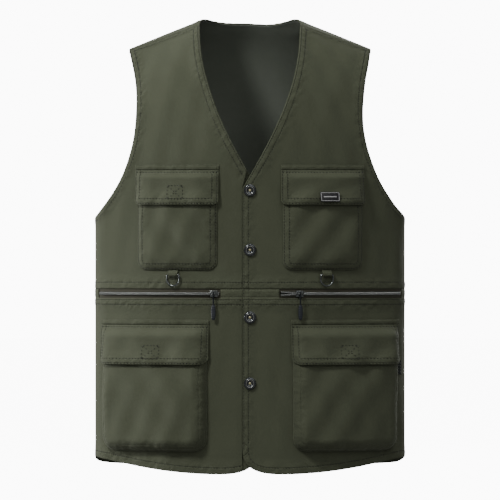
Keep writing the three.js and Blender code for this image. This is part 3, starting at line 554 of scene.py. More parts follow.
CORD = woven("braided_cord", "puller_plastic", (0.008, 0.010, 0.012), rough=0.7, sheen=0.0, seams=False, twill=False)
PALE_THREAD = woven("pale_thread", "label_tape", (0.16, 0.17, 0.16), rough=0.7, seams=False)
WEBBING = woven("loop_webbing", "shell_cloth", OLIVE, rows=(0.0016, 0.009))


# ---------- stitches ----------
def walls_between(count, sides):
    """Faces that join count rings of points, each with the given number of sides, one after another."""
    return [(i * sides + j, i * sides + (j + 1) % sides, (i + 1) * sides + (j + 1) % sides, (i + 1) * sides + j)
            for i in range(count - 1) for j in range(sides)]


def dash(length=0.0024, wide=0.0011, high=0.0005, sides=6):
    """One stitch along +X, lying on z = 0: a short thread that dives in at both ends."""
    stations = np.array([-0.5, -0.32, 0, 0.32, 0.5])
    size = np.array([0.25, 0.85, 1, 0.85, 0.25])
    rise = np.array([-0.6, 0.3, 0.55, 0.3, -0.6]) * high
    turn = np.arange(sides) * 2 * math.pi / sides
    rings = [np.c_[np.full(sides, x * length), np.cos(turn) * wide / 2 * k, np.sin(turn) * high / 2 * k + z]
             for x, k, z in zip(stations, size, rise)]
    faces = walls_between(len(stations), sides)
    return np.vstack(rings), np.array(faces)


DASH_POINTS, DASH_FACES = dash()


def laid_on(side):
    """Where stitches lie on one side of the shell: a place for pattern points at a height."""
    return lambda q, h: torso(q[..., 0], q[..., 1], side, h - 0.0001)


def stitch_row(pattern_line, surface, pitch=0.0041):
    """Stitches along a line of pattern points. surface gives the place of pattern points at a height."""
    steps = np.r_[0, np.cumsum(np.linalg.norm(np.diff(pattern_line, axis=0), axis=1))]
    count = max(int(steps[-1] / pitch), 1)
    where = (np.arange(count) + 0.5) * steps[-1] / count
    p = np.stack([np.interp(where, steps, pattern_line[:, k]) for k in range(2)], -1)
    ahead = np.stack([np.interp(where + 0.0004, steps, pattern_line[:, k]) for k in range(2)], -1)
    behind = np.stack([np.interp(where - 0.0004, steps, pattern_line[:, k]) for k in range(2)], -1)
    base = surface(p, 0.0002)
    along_line = surface(ahead, 0.0) - surface(behind, 0.0)
    along_line /= np.maximum(np.linalg.norm(along_line, axis=-1, keepdims=True), 1e-12)
    up = surface(p, 0.0012) - base
    up /= np.linalg.norm(up, axis=-1, keepdims=True)
    sideways = np.cross(up, along_line)
    points = (base[:, None] + DASH_POINTS[None, :, :1] * along_line[:, None]
              + DASH_POINTS[None, :, 1:2] * sideways[:, None] + DASH_POINTS[None, :, 2:] * up[:, None])
    faces = DASH_FACES[None] + (np.arange(count) * len(DASH_POINTS))[:, None, None]
    return points.reshape(-1, 3), faces.reshape(-1, 4)


def stitches(name, rows, body):
    """rows: (pattern line, surface) pairs, sewn as one piece of thread."""
    points, faces, start = [], [], 0
    for pattern_line, surface in rows:
        p, f = stitch_row(pattern_line, surface)
        points.append(p)
        faces.append(f + start)
        start += len(p)
    obj = mesh_object(name, np.vstack(points), np.vstack(faces))
    return finish_piece(obj, THREAD, body)


def inward(polyline, gap, towards):
    """A pattern line moved sideways by gap, towards a pattern point."""
    step = np.gradient(polyline, axis=0)
    step /= np.maximum(np.linalg.norm(step, axis=1, keepdims=True), 1e-12)
    side = np.stack([-step[:, 1], step[:, 0]], -1)
    middle = len(polyline) // 2
    if side[middle] @ (np.array(towards) - polyline[middle]) < 0:
        side = -side
    return polyline + side * gap


# ---------- shell ----------
def spaced(length, pitch, low=True, high=True):
    """Shares of a length, closer together by an end that is sewn."""
    fine = np.array([0, 0.0006, 0.0013, 0.002, 0.0028, 0.0042, 0.006, 0.0075, 0.0085, 0.0096, 0.0115, 0.014])
    inner0 = fine[-1] if low else 0
    inner1 = length - (fine[-1] if high else 0)
    count = max(int((inner1 - inner0) / pitch), 2)
    parts = [np.linspace(inner0, inner1, count + 1)]
    if low:
        parts.insert(0, fine[:-1])
    if high:
        parts.append(length - fine[:-1][::-1])
    return np.concatenate(parts) / length


PUCKER = waves(6, 0.013, 0.015)


def sewn(u, v, two, one):
    """Height of sewn edges: thicker over the turned seam, pressed in along each stitch row, puckered beside it."""
    nearest = np.minimum(two, one)
    puff = 0.0005 * (1 - smooth(nearest, 0.008, 0.0115)) * smooth(nearest, 0, 0.0016)
    rows = np.exp(-((two - 0.002) / 0.0006) ** 2) + np.exp(-((two - 0.0085) / 0.0009) ** 2)
    rows = rows + np.exp(-((one - 0.0085) / 0.0009) ** 2)
    pucker = 0.00028 * ripple(PUCKER, u, v) * (1 - smooth(nearest, 0.007, 0.024)) * smooth(nearest, 0.001, 0.005)
    return puff - 0.00032 * rows + pucker


SEAM_CLEAR = 0.0002


def hem_line(near):
    """The hem from the front edge out to the side seam. The right front's round corner lies under the left front."""
    x0 = PLACKET
    whole = np.vstack([
        bezier((x0, HEM_FRONT + HEM_CORNER), (x0, HEM_FRONT + 0.008), (x0 + 0.02, HEM_FRONT), (x0 + 0.056, HEM_FRONT)),
        bezier((x0 + 0.056, HEM_FRONT), (0.110, HEM_FRONT), (HALF_W - 0.048, HEM_SIDE - 0.011), (HALF_W, HEM_SIDE))[1:]])
    start = (near, float(np.interp(near, whole[:, 0], whole[:, 1])))
    return np.vstack([[start], whole[whole[:, 0] > near + 0.0001]])


def panel_edges(mirror):
    """Edges of one front in front view, ordered upwards."""
    near = PLACKET if mirror > 0 else -PLACKET + 0.0003
    neck = neckline()
    if mirror < 0:
        neck = neck[neck[:, 0] > 0.0012]
    return near, neck, hem_line(near)


def to_pattern(line_, mirror, side=FRONT):
    line_ = densify(line_)
    return at(line_[:, 0], line_[:, 1], side) * np.array([mirror, 1])


def front_layout(mirror, bottom, inset=0.0):
    """The layout of a front piece from the height bottom up, inset from the placket and neckline."""
    near, neck, _ = panel_edges(mirror)
    end = NECK_X + inset * 0.6
    if inset:
        near = PLACKET + inset
        neck = neckline(inset, end)
    left = np.vstack([[(near, bottom)], [(near, V_NECK_Z)], neck[1:]])
    right = np.vstack([[(HALF_W, bottom)], armhole_line()])
    shoulder = line((neck[-1][0], crest(neck[-1][0]) - seam_drop(neck[-1][0])), (TIP_X, crest(TIP_X) - 0.004))
    base = line((near, bottom), (HALF_W, bottom))
    lines = [to_pattern(e, mirror) for e in (base, shoulder, left, right)]
    return coons(*(lambda t, e=e: along(e, t) for e in lines)), lines


def front_upper(name, mirror):
    patch, (base, shoulder, left, _) = front_layout(mirror, SEAM_Z + SEAM_CLEAR)
    s = spaced(0.22, 0.0035)
    t = spaced(0.40, 0.0035)
    p = patch(s[None, :], t[:, None])
    armhole = to_pattern(armhole_line(), mirror)
    # Under the left front, the right one has no stitched edge, and sinks a little.
    front_edge = left if mirror > 0 else to_pattern(neckline(), mirror)
    two = np.minimum(distance(p, armhole), np.minimum(distance(p, front_edge), distance(p, shoulder)))
    one = distance(p, base)
    grid = torso(p[..., 0], p[..., 1], FRONT, sewn(p[..., 0], p[..., 1], two, one) - tucked(mirror, p))
    body = "blend" if mirror > 0 else "garment"
    panel = cloth(f"{name}_front_upper_cloth", grid, 0.001, SHELL, body, Vector((0, 0, -0.25)), p, two, one,
                  replaces=(f"{name}_front_upper",))
    surface = laid_on(FRONT)
    centre = at(0.11 * mirror, -0.25)
    rows = []
    for edge_line in (armhole, front_edge, shoulder):
        for gap in PAIR:
            line_ = inward(edge_line, gap, centre)
            if mirror < 0:
                line_ = line_[line_[:, 0] < PLACKET]
            rows.append((line_, surface))
    rows.append((inward(base, 0.0085, centre), surface))
    stitches(f"{name}_upper_stitches", rows, body)
    measure(grid)


def tucked(mirror, p):
    """How far the right front sinks next to the left front's edge."""
    if mirror > 0:
        return 0
    return 0.0007 * (1 - smooth(np.abs(p[..., 0]), -PLACKET, -PLACKET + 0.008))


def front_lower(name, mirror):
    near, _, hem = panel_edges(mirror)
    u0, u1 = float(u_of(near)), U_SIDE
    s = spaced(u1 - u0, 0.0035) * (u1 - u0) + u0
    marks = [float(u_of(ZIP_IN - 0.002)), float(u_of(ZIP_OUT + 0.0015))]
    for mark in marks:
        s[np.argmin(np.abs(s - mark))] = mark
    x = drape(s, np.full_like(s, 0.9), FRONT)[:, 0]
    low = np.interp(x, hem[:, 0], hem[:, 1])
    top = SEAM_Z - SEAM_CLEAR
    welt = ZIP_Z - ZIP_GAP / 2
    t = spaced(0.25, 0.0035)
    z = welt + (low - welt)[None, :] * (1 - t[:, None])
    strip = np.array([0.35, 0.7, 1.0])[:, None] * (top - welt) + welt + 0 * low[None, :]
    z = np.vstack([z, strip])
    U = np.broadcast_to(s[None, :], z.shape) * mirror
    X = np.broadcast_to(x[None, :], z.shape)
    p = np.stack([U, v_of(X, z, FRONT)], -1)
    keep = np.ones((len(z) - 1, len(s) - 1), bool)
    window = (s[:-1] >= marks[0] - 1e-6) & (s[1:] <= marks[1] + 1e-6)
    keep[-3:, window] = False
    hem_edge = to_pattern(hem, mirror)
    placket = to_pattern(line((near, HEM_FRONT + HEM_CORNER), (near, SEAM_Z)), mirror)
    welt_line = to_pattern(line((near, welt), (HALF_W, welt)), mirror)
    below = np.where(z <= welt + 1e-6, distance(p, welt_line), 0.004)
    two = below if mirror < 0 else np.minimum(distance(p, placket), below)
    one = distance(p, hem_edge)
    grid = torso(p[..., 0], p[..., 1], FRONT, sewn(p[..., 0], p[..., 1], two, one) - tucked(mirror, p))
    body = "left_front" if mirror > 0 else "garment"
    panel = cloth(f"{name}_front_lower_cloth", grid, 0.001, SHELL, body, Vector((0, 0, -0.5)), p, two, one, keep,
                  replaces=(f"{name}_front_lower",))
    surface = laid_on(FRONT)
    centre = at(0.11 * mirror, -0.5)
    rows = [(inward(welt_line, 0.002, centre), surface), (inward(welt_line, 0.0085, centre), surface),
            (inward(hem_edge, 0.0085, centre), surface)]
    if mirror > 0:
        rows += [(inward(placket, gap, centre), surface) for gap in PAIR]
    stitches(f"{name}_lower_stitches", rows, body)
    measure(grid, keep)


# ---------- cloth sizes -------------
def cell_area(grid, keep=None):
    a = grid[1:, 1:] - grid[:-1, :-1]
    b = grid[1:, :-1] - grid[:-1, 1:]
    area = np.linalg.norm(np.cross(a, b), axis=-1) / 2
    return float(area.sum() if keep is None else area[keep].sum())


def measure(grid, keep=None):
    """Works out a sheet's flat size, the rectangle that its widest row and longest column need, and its area, and
    keeps neither.
    """
    wide = np.linalg.norm(np.diff(grid, axis=1), axis=-1).sum(axis=1).max()
    long = np.linalg.norm(np.diff(grid, axis=0), axis=-1).sum(axis=0).max()
    area = cell_area(grid, keep)
    flat = (round(float(wide), 3), round(float(long), 3))
    area = min(area, flat[0] * flat[1])


# ---------- back ----------
def back_layout():
    def over_top(x):
        return -v_of(x, crest(x) - seam_drop(x) + 0.0003, FRONT)

    def hem(s):
        c = 2 * s - 1
        z = HEM_BACK + (HEM_SIDE - HEM_BACK) * c * c
        return np.stack([c * U_SIDE, v_of(HALF_W * c, z, BACK)], -1)

    def seam(s):
        x = -TIP_X + 2 * TIP_X * s
        return np.stack([u_of(x), over_top(np.maximum(np.abs(x), NECK_X))], -1)
    outline = np.vstack([[(HALF_W, HEM_SIDE)], armhole_line()])

    def side(mirror):
        pattern = to_pattern(outline, mirror, BACK)
        end = pattern[-1].copy()
        end[1] = over_top(TIP_X)
        pattern = np.vstack([pattern, along(np.vstack([pattern[-1], end]), np.linspace(0.2, 1, 5))])
        return pattern, lambda t: along(pattern, t)
    (left_line, left), (right_line, right) = side(-1), side(1)
    plain = coons(hem, seam, left, right)
    drop = float(v_of(0, BACK_NECK_Z, BACK) - over_top(NECK_X))

    def patch(s, t):
        p = plain(s, t)
        bare = 1 - np.minimum(np.abs(2 * s - 1) * TIP_X / NECK_X, 1) ** 2
        dip = np.sqrt(bare) * drop * np.broadcast_to(t, p.shape[:2]) ** 8
        return p + np.stack([np.zeros_like(dip), dip], -1)
    s = np.linspace(0, 1, 200)
    top = patch(s[None, :], np.array([[1.0]]))[0]
    return patch, hem(s), top, left_line, right_line


def back_panel():
    patch, hem, top, left, right = back_layout()
    s = spaced(0.5, 0.0042)
    corner = NECK_X / TIP_X / 2
    s = np.unique(np.concatenate([s, 0.5 + corner * np.array([-1, -0.985, -0.95, 0.95, 0.985, 1])]))
    t = spaced(0.66, 0.0042)
    p = patch(s[None, :], t[:, None])
    p[..., 0] = np.clip(p[..., 0], -U_SIDE + 0.0006, U_SIDE - 0.0006)
    arms = [to_pattern(armhole_line(), m, BACK) for m in (-1, 1)]
    two = np.minimum(distance(p, arms[0]), distance(p, arms[1]))
    two = np.minimum(two, distance(p, top))
    one = distance(p, hem)
    grid = torso(p[..., 0], p[..., 1], BACK, sewn(p[..., 0], p[..., 1], two, one))
    panel = cloth("back_cloth", grid, 0.001, SHELL, "garment", FAR, p, two, one,
                  replaces=("back_panel",))
    surface = laid_on(BACK)
    centre = (0, 0.4)
    rows = []
    for arm in arms:
        rows += [(inward(arm, gap, centre), surface) for gap in PAIR]
    neck = top[(np.abs(top[:, 0]) < float(u_of(NECK_X)) * 0.96)]
    rows += [(inward(neck, gap, centre), surface) for gap in PAIR]
    rows.append((inward(hem, 0.0085, centre), surface))
    stitches("back_stitches", rows, "garment")
    measure(grid)

    s2 = np.linspace(0.012, 0.988, 90)
    t2 = np.concatenate([np.linspace(0.018, 0.9, 110), np.linspace(0.9, 0.975, 24)[1:]])
    q = patch(s2[None, :], t2[:, None])
    q[..., 0] = np.clip(q[..., 0], -U_SIDE + 0.0022, U_SIDE - 0.0022)
    shade = smooth(np.minimum(s2, 1 - s2), 0, 0.1)[None, :] * smooth(t2, 0, 0.1)[:, None]
    shade = shade * (1 - smooth(t2, 0.86, 0.95)[:, None])
    loose = 0.0022 + 0.0024 * shade + 0.0008 * ripple(LINING_FOLDS, q[..., 0], q[..., 1]) * shade
    lining = torso(q[..., 0], q[..., 1], BACK, -loose)
    piece = cloth("back_lining_cloth", lining, 0.0005, LINING, "garment", FAR, q,
                  replaces=("back_lining",))
    measure(lining)

    s3 = np.linspace(0.5 - corner * 0.97, 0.5 + corner * 0.97, 70)
    t3 = np.linspace(0.968, 0.9985, 12)
    r = patch(s3[None, :], t3[:, None])
    facing = torso(r[..., 0], r[..., 1], BACK, -0.0013)
    flat = flat_pattern(facing)
    two3 = np.minimum(flat[..., 1], np.ptp(flat[..., 1]) - flat[..., 1])
    cloth("back_neck_facing_cloth", facing, 0.0007, SHELL, "garment", FAR, r, two3,
          replaces=("back_neck_facing",))


LINING_FOLDS = waves(6, 0.09, 0.3)


# ---------- linings and facings ----------
def front_lining(name, mirror):
    inset = 0.0447
    patch, (base, shoulder, left, right) = front_layout(mirror, HEM_SIDE + 0.012, inset)
    s = spaced(0.18, 0.004)
    t = spaced(0.6, 0.005)
    p = patch(s[None, :], t[:, None])
    p[..., 0] = np.clip(p[..., 0], -U_SIDE + 0.0022, U_SIDE - 0.0022)
    inner = distance(p, left)
    outer = distance(p, right)
    ends = np.minimum(distance(p, base), distance(p, shoulder))
    room = smooth(inner, 0, 0.014) * smooth(outer, 0, 0.03) * smooth(ends, 0, 0.02)
    z = drape(p[..., 0], p[..., 1], FRONT)[..., 2]
    room = room * (1 - smooth(z, -0.35, -0.2))
    grid = torso(p[..., 0], p[..., 1], FRONT, -(0.0024 + 0.0068 * room
                                                + 0.0006 * ripple(LINING_FOLDS, p[..., 0], p[..., 1]) * room))
    body = "blend" if mirror > 0 else "garment"
    piece = cloth(f"{name}_front_lining_cloth", grid, 0.0005, LINING, body, Vector((0, 0, -0.3)), p,
                  replaces=(f"{name}_front_lining",))
    measure(grid)


def front_facing(name, node, mirror):
    """The strip behind the front edge and neckline. On the right front it carries on under the left one."""
    over = mirror > 0
    wide = 0.044
    hem = hem_line(PLACKET)
    hem = hem[hem[:, 0] <= PLACKET + wide]

    def edge(inset, low):
        end = NECK_X + inset * 0.6
        view = np.vstack([[(PLACKET + inset, low)], [(PLACKET + inset, V_NECK_Z)], neckline(inset, end)[1:]])
        return to_pattern(view, mirror)
    outer, inner = edge(0.0, hem[0, 1]), edge(wide, hem[-1, 1])
    bottom = to_pattern(hem, mirror)
    top = line(outer[-1], inner[-1])
    patch = coons(*(lambda t, e=e: along(e, t) for e in (bottom, top, outer, inner)))
    t = spaced(0.66, 0.004)
    s = spaced(wide, 0.004)
    p = patch(s[None, :], t[:, None])
    depth = np.full(p.shape[:2], 0.0015)
    if not over:
        low_down = smooth(drape(p[..., 0], p[..., 1], FRONT)[..., 2], HEM_FRONT + 0.05, HEM_FRONT + 0.09)
        across = smooth(p[..., 0], -float(u_of(wide + PLACKET)), PLACKET - 0.0025)
        depth = 0.0015 + (0.0014 + 0.0035 * low_down) * across
    grid = torso(p[..., 0], p[..., 1], FRONT, -depth)
    two = distance(p, outer)
    body = "blend" if over else "garment"
    piece = cloth(f"{name}_cloth", grid, 0.0008, SHELL, body, Vector((0, 0, -0.3)), p, two, None,
                  replaces=(node,))
    measure(grid)


# ---------- pockets ----------
def pillow(k):
    return 1 - (1 - np.clip(k, 0, 1)) ** 2


def corner_rise(radius, d):
    return radius - np.sqrt(np.maximum(radius ** 2 - np.maximum(radius - np.maximum(d, 0), 0) ** 2, 0))


def hinge_z(p):
    return p["top"] - p["band"]


def mouth_z(p):
    return hinge_z(p) - p["rise"]


def from_side(p, x, inset):
    return np.minimum(x - p["inner"], p["outer"] - x) - inset


def bag_end(p, x):
    return p["bottom"] + corner_rise(p["corner"], from_side(p, x, BAG_INSET))


BAG_CREASES = waves(6, 0.045, 0.06)


def bulge(p, x, z):
    """How far a pocket's outer face stands off the shell."""
    rest = 0.0016
    side = pillow(from_side(p, x, BAG_INSET) / p["gusset"])
    low = pillow((z - bag_end(p, x)) / p["gusset"])
    full = p["mouth"] + (1 - p["mouth"]) * smooth(mouth_z(p) - z, 0, (mouth_z(p) - p["bottom"]) * 0.5)
    crease = 0.0011 * ripple(BAG_CREASES, x + p["top"], z) * side * low * smooth(mouth_z(p) - z, 0, 0.03)
    return rest + (p["depth"] - rest) * side * low * full + crease


def cover(p, x, z):
    """How far a flap's outer face stands off the shell."""
    flare = 0.0022 * smooth(hinge_z(p) - z, p["flap"] * 0.4, p["flap"])
    lifted = bulge(p, x, np.minimum(z, mouth_z(p))) + 0.0033 + flare
    rise = smooth(hinge_z(p) - z, 0, p["rise"])
    return 0.0026 * (1 - rise) + lifted * rise


def pocket(name, p, mirror):
    root = ROOT[mirror]
    width = p["outer"] - p["inner"]
    fine = np.array([0, 0.0005, 0.0012, 0.002, 0.003, 0.0045, 0.006, 0.0075, 0.009, 0.011, 0.0135, 0.0165, 0.02])

    def edges(length, inset, pitch=0.0028, both=True):
        a = inset + fine
        b = length - inset - fine[::-1] if both else np.array([length - inset])
        return np.unique(np.concatenate([a, np.arange(a[-1], b[0], pitch), b]))

    x = p["inner"] + edges(width, BAG_INSET)
    tall = mouth_z(p) - p["bottom"]
    d = edges(tall, 0.0)
    t = d / tall
    z = bag_end(p, x)[None, :] + (mouth_z(p) - bag_end(p, x))[None, :] * t[:, None]
    X = np.broadcast_to(x[None, :], z.shape)
    side = from_side(p, X, BAG_INSET)
    end = np.where((side < p["corner"]) & (z - p["bottom"] < p["corner"]),
                   p["corner"] - np.hypot(p["corner"] - side, p["corner"] - (z - p["bottom"])),
                   np.minimum(side, z - p["bottom"]))
    end = np.maximum(end, 0)
    lift = bulge(p, X, z) + sewn(X, z, end, np.ones_like(end)) * 0.8
    lift = lift + 0.0012 * np.exp(-((end - 0.0045) / 0.003) ** 2) * (p is CARGO)
    grid = on_front(mirror, X, z, lift)
    pattern = np.stack([X * mirror, -z], -1)
    bag = cloth(f"{name}_pocket_cloth", grid, 0.0009, SHELL, root, FAR, pattern, end, None,
                replaces=(f"{name}_pocket",))
    rows = []
    for gap in (PAIR if p is CHEST else (0.0065,)):
        u_line = outline_inside(p, gap + BAG_INSET, p["corner"] - gap, mouth_z(p) - 0.001)
        rows.append((u_line, lambda q, h, m=mirror: on_front(m, q[..., 0], q[..., 1],
                                                             bulge(p, q[..., 0], q[..., 1]) + h + 0.0001)))
    stitches(f"{name}_pocket_stitches", rows, root)
    measure(grid)

    # The band above the flap's stitched fold.
    x2 = p["inner"] + edges(width, 0.0)
    z2 = np.array([0.0001, 0.0009, 0.002, 0.0035, 0.0046, 0.0055, 0.0062, 0.0068]) + hinge_z(p)
    X2, Z2 = np.broadcast_arrays(x2[None, :], z2[:, None])
    rise = 0.0024 + 0.0005 * np.sin(np.clip((Z2 - hinge_z(p)) / p["band"], 0, 1) * math.pi)
    grid2 = on_front(mirror, X2, Z2, rise)
    band_edge = np.minimum(p["top"] - Z2 + 0.0005, from_side(p, X2, 0))
    cloth(f"{name}_flap_band_cloth", grid2, 0.0018, SHELL, root, FAR,
          np.stack([X2 * mirror, -Z2], -1), band_edge, None, replaces=(f"{name}_flap_seam",), square=0)

    # The flap: double-stitched round its free edge, slightly bowed, with a lip that curls in.
    corner = p["flap_corner"]
    flap_low = hinge_z(p) - p["flap"]
    x3 = p["inner"] + edges(width, 0.0)
    low3 = flap_low + corner_rise(corner, from_side(p, x3, 0))
    d3 = edges(p["flap"], 0.0, both=True)
    t3 = d3 / p["flap"]
    z3 = low3[None, :] + (hinge_z(p) - 0.0005 - low3)[None, :] * t3[:, None]
    X3 = np.broadcast_to(x3[None, :], z3.shape)

    def flap_end(x, z):
        side, up = from_side(p, x, 0), z - flap_low
        rounded = corner - np.hypot(corner - side, corner - up)
        return np.maximum(np.where((side < corner) & (up < corner), rounded, np.minimum(side, up)), 0)

    def flap_face(x, z):
        end = flap_end(x, z)
        lip = 0.0006 * (1 - smooth(end, 0, 0.006))
        loose = smooth(hinge_z(p) - z, 0, 0.03) * smooth(end, 0, 0.01)
        bow = 0.0008 * ripple(BAG_CREASES, x * 0.8, z * 1.1) * loose
        return cover(p, x, z) + sewn(x, z, end, np.ones_like(end)) * 0.8 - lip + bow

    end3 = flap_end(X3, z3)
    one3 = np.maximum(hinge_z(p) - z3, 0) + 0.0048
    grid3 = on_front(mirror, X3, z3, flap_face(X3, z3))
    body = f"{name}_flap"
    hinge_row = np.where(one3 < 0.0115, one3, 1.0)
    flap = cloth(f"{name}_flap_cloth", grid3, 0.0018, SHELL, body, FAR,
                 np.stack([X3 * mirror, -z3], -1), end3, hinge_row, replaces=(f"{name}_flap",), square=-1)
    over = lambda q, h, m=mirror: on_front(m, q[..., 0], q[..., 1], flap_face(q[..., 0], q[..., 1]) + h)
    rows = []
    for gap in PAIR:
        rows.append((outline_inside(dict(p, bottom=flap_low), gap, max(corner - gap, 0.001), hinge_z(p) - 0.001),
                     over))
    hinge_stitch = hinge_z(p) - 0.0037
    rows.append((line((p["inner"] + 0.001, hinge_stitch), (p["outer"] - 0.001, hinge_stitch)), over))
    names = [f"{name}_flap_stitches"]
    stitches(names[0], rows, body)
    if not (p is CHEST and mirror > 0):
        stitches(f"{name}_cross_stitches", cross_box(p, flap_low, over), body)
        names.append(f"{name}_cross_stitches")
    measure(grid3)


def outline_inside(p, inset, radius, top):
    """A pocket's outline, from its top inner end down, round and up, at an inset."""
    x0, x1 = p["inner"] + inset, p["outer"] - inset
    z0 = p["bottom"] + inset - (BAG_INSET if p["bottom"] in (CHEST["bottom"], CARGO["bottom"]) else 0)
    turn = np.linspace(0, math.pi / 2, 9)
    left = np.c_[x0 + radius - radius * np.cos(turn), z0 + radius - radius * np.sin(turn)]
    right = np.c_[x1 - radius + radius * np.sin(turn), z0 + radius - radius * np.cos(turn)]
    return densify(np.vstack([[(x0, top)], left, right, [(x1, top)]]), 0.002)


def cross_box(p, flap_low, over):
    """A small stitched square with an X, where the fastening patch is sewn behind the flap."""
    middle = (p["inner"] + p["outer"]) / 2
    a, b = middle - 0.0105, middle + 0.0105
    c, d = flap_low + 0.008, flap_low + 0.027
    corners = [(a, c), (b, c), (b, d), (a, d)]
    rows = [(densify(line(corners[i], corners[(i + 1) % 4]), 0.002), over) for i in range(4)]
    rows += [(densify(line(corners[i], corners[i + 2]), 0.002), over) for i in (0, 1)]
    return rows


# ---------- metal, plastic and trims ----------
def round_to(x):
    """Carries a piece made at the centre front round the chest to its place at x."""
    swing = math.asin(x / R)
    return Matrix.Translation((0, CENTRE, 0)) @ Matrix.Rotation(swing, 4, "Z") @ Matrix.Translation((0, -CENTRE, 0))


def transformed(points, matrix):
    m = np.array(matrix)
    return np.asarray(points) @ m[:3, :3].T + m[:3, 3]


def tube(path, radius, sides=12, closed=True):
    """Points and faces of a round tube along a smooth path. An open tube has rounded ends."""
    path = np.asarray(path, float)
    radius = np.broadcast_to(np.asarray(radius, float), len(path)).copy()
    if closed:
        ahead = np.roll(path, -1, axis=0) - np.roll(path, 1, axis=0)
    else:
        ahead = np.gradient(path, axis=0)
    ahead /= np.linalg.norm(ahead, axis=1, keepdims=True)
    side = np.cross(ahead[0], (0.3, 0.9, 0.31))
    rings = []
    turn = np.arange(sides) * 2 * math.pi / sides
    for point, direction, r in zip(path, ahead, radius):
        side = side - direction * (side @ direction)
        side /= np.linalg.norm(side)
        up = np.cross(direction, side)
        rings.append(point + r * (np.cos(turn)[:, None] * side + np.sin(turn)[:, None] * up))
    count = len(rings)
    points = np.vstack(rings)
    # On a closed path the last ring joins the first where their corners lie nearest.
    shift = 0
    if closed:
        shift = int(np.argmin([np.linalg.norm(rings[-1] - np.roll(rings[0], -k, axis=0))
                               for k in range(sides)]))
    faces = []
    for i in range(count if closed else count - 1):
        twist = shift if i == count - 1 else 0
        for j in range(sides):
            k = (j + 1) % sides
            a, b = i * sides + j, i * sides + k
            c = ((i + 1) % count) * sides + (k + twist) % sides
            d = ((i + 1) % count) * sides + (j + twist) % sides
            faces.append((a, b, c, d))
    if not closed:
        faces.append(tuple(range(sides))[::-1])
        faces.append(tuple(range((count - 1) * sides, count * sides)))
    return points, faces


def facing_out(obj):
    mesh = bmesh.new()
    mesh.from_mesh(obj.data)
    bmesh.ops.recalc_face_normals(mesh, faces=mesh.faces)
    mesh.to_mesh(obj.data)
    mesh.free()


def make(name, parts, look, body, matrix=None, replaces=(), smooth_shade=True):
    """Joins point and face lists into one piece."""
    points, faces, start = [], [], 0
    for p, f in parts:
        points.append(np.asarray(p))
        faces += [tuple(i + start for i in face) for face in f]
        start += len(p)
    points = np.vstack(points)
    if matrix is not None:
        points = transformed(points, matrix)
    obj = mesh_object(name, points, faces, smooth_shade)
    facing_out(obj)
    return finish_piece(obj, look, body, replaces)


def rounded_box(size, centre=(0, 0, 0), bevel=0.0006, segments=3, taper=1.0):
    """A box with round edges. taper narrows its +Z end across X."""
    mesh = bmesh.new()
    bmesh.ops.create_cube(mesh, size=1)
    for v in mesh.verts:
        k = taper if v.co.z > 0 else 1
        v.co = Vector((v.co.x * size[0] * k, v.co.y * size[1], v.co.z * size[2]))
    bmesh.ops.bevel(mesh, geom=mesh.edges[:], offset=bevel, segments=segments, affect="EDGES", profile=0.5)
    mesh.verts.index_update()
    points = np.array([v.co for v in mesh.verts]) + np.array(centre)
    faces = [tuple(v.index for v in f.verts) for f in mesh.faces]
    mesh.free()
    return points, faces


def lathe(profile, sides=64):
    """A round piece about the Y axis from (radius, out) points. Out is towards -Y."""
    turn = np.arange(sides) * 2 * math.pi / sides
    rings = [np.c_[r * np.cos(turn), np.full(sides, -out), r * np.sin(turn)] for r, out in profile]
    faces = walls_between(len(rings), sides)
    faces.append(tuple(range(sides)))
    faces.append(tuple(range((len(rings) - 1) * sides, len(rings) * sides)))
    return np.vstack(rings), faces


def arc_points(centre, radius, start, end, count):
    turn = np.radians(np.linspace(start, end, count))
    return [(centre[0] + radius * math.cos(a), centre[1] + radius * math.sin(a)) for a in turn]


def snap_cap(i, z):
    """A domed cap with a ring and a plain round boss."""
    place = Matrix.Translation((0, -HALF_D, z))
    rim = arc_points((0.0063, 0.0013), 0.0023, -25, 125, 14)
    profile = [(0.0086, 0.0003), (0.0087, 0.0007)] + rim + [(0.0047, 0.0026), (0.0044, 0.0022), (0.0036, 0.0018),
                                                         (0.0018, 0.0015), (0.0003, 0.0014)]
    make(f"snap_{i}_dome", [lathe(profile)], DARK, "left_front", place, replaces=(f"snap_cap_{i}",))
    turn = np.linspace(0, 2 * math.pi, 48, endpoint=False)
    ring = np.c_[0.0053 * np.cos(turn), np.full(48, -0.0031), 0.0053 * np.sin(turn)]
    make(f"snap_{i}_ring", [tube(ring, 0.00042, 8)], TEETH, "left_front", place)
    boss = [(0.0019, 0.0014), (0.0017, 0.0019), (0.0011, 0.0022), (0.0002, 0.0023)]
    make(f"snap_{i}_boss", [lathe(boss)], BRASS, "left_front", place)


def shoulder_piping(side, mirror):
    """The folded cord of cloth where the front and back meet on the shoulder."""
    x = np.linspace(NECK_X + 0.001, TIP_X - 0.0005, 60)
    q = to_pattern(np.c_[x, crest(x) - seam_drop(x)], mirror)
    path = torso(q[:, 0], q[:, 1], FRONT, np.full(len(q), -0.0011))
    make(f"{side}_shoulder_piping", [tube(path, 0.0015, 10, closed=False)], SHELL, "garment")


def side_piping(side, mirror):
    """The same down the side, from the armpit to the hem, on the line about which a front opens."""
    z = np.linspace(HEM_SIDE + 0.002, ARMPIT_Z - 0.002, 90)
    path = np.c_[np.full(90, mirror * (HALF_W - 0.0013)), np.zeros(90), z]
    make(f"{side}_side_piping", [tube(path, 0.0013, 10, closed=False)], SHELL, "garment")


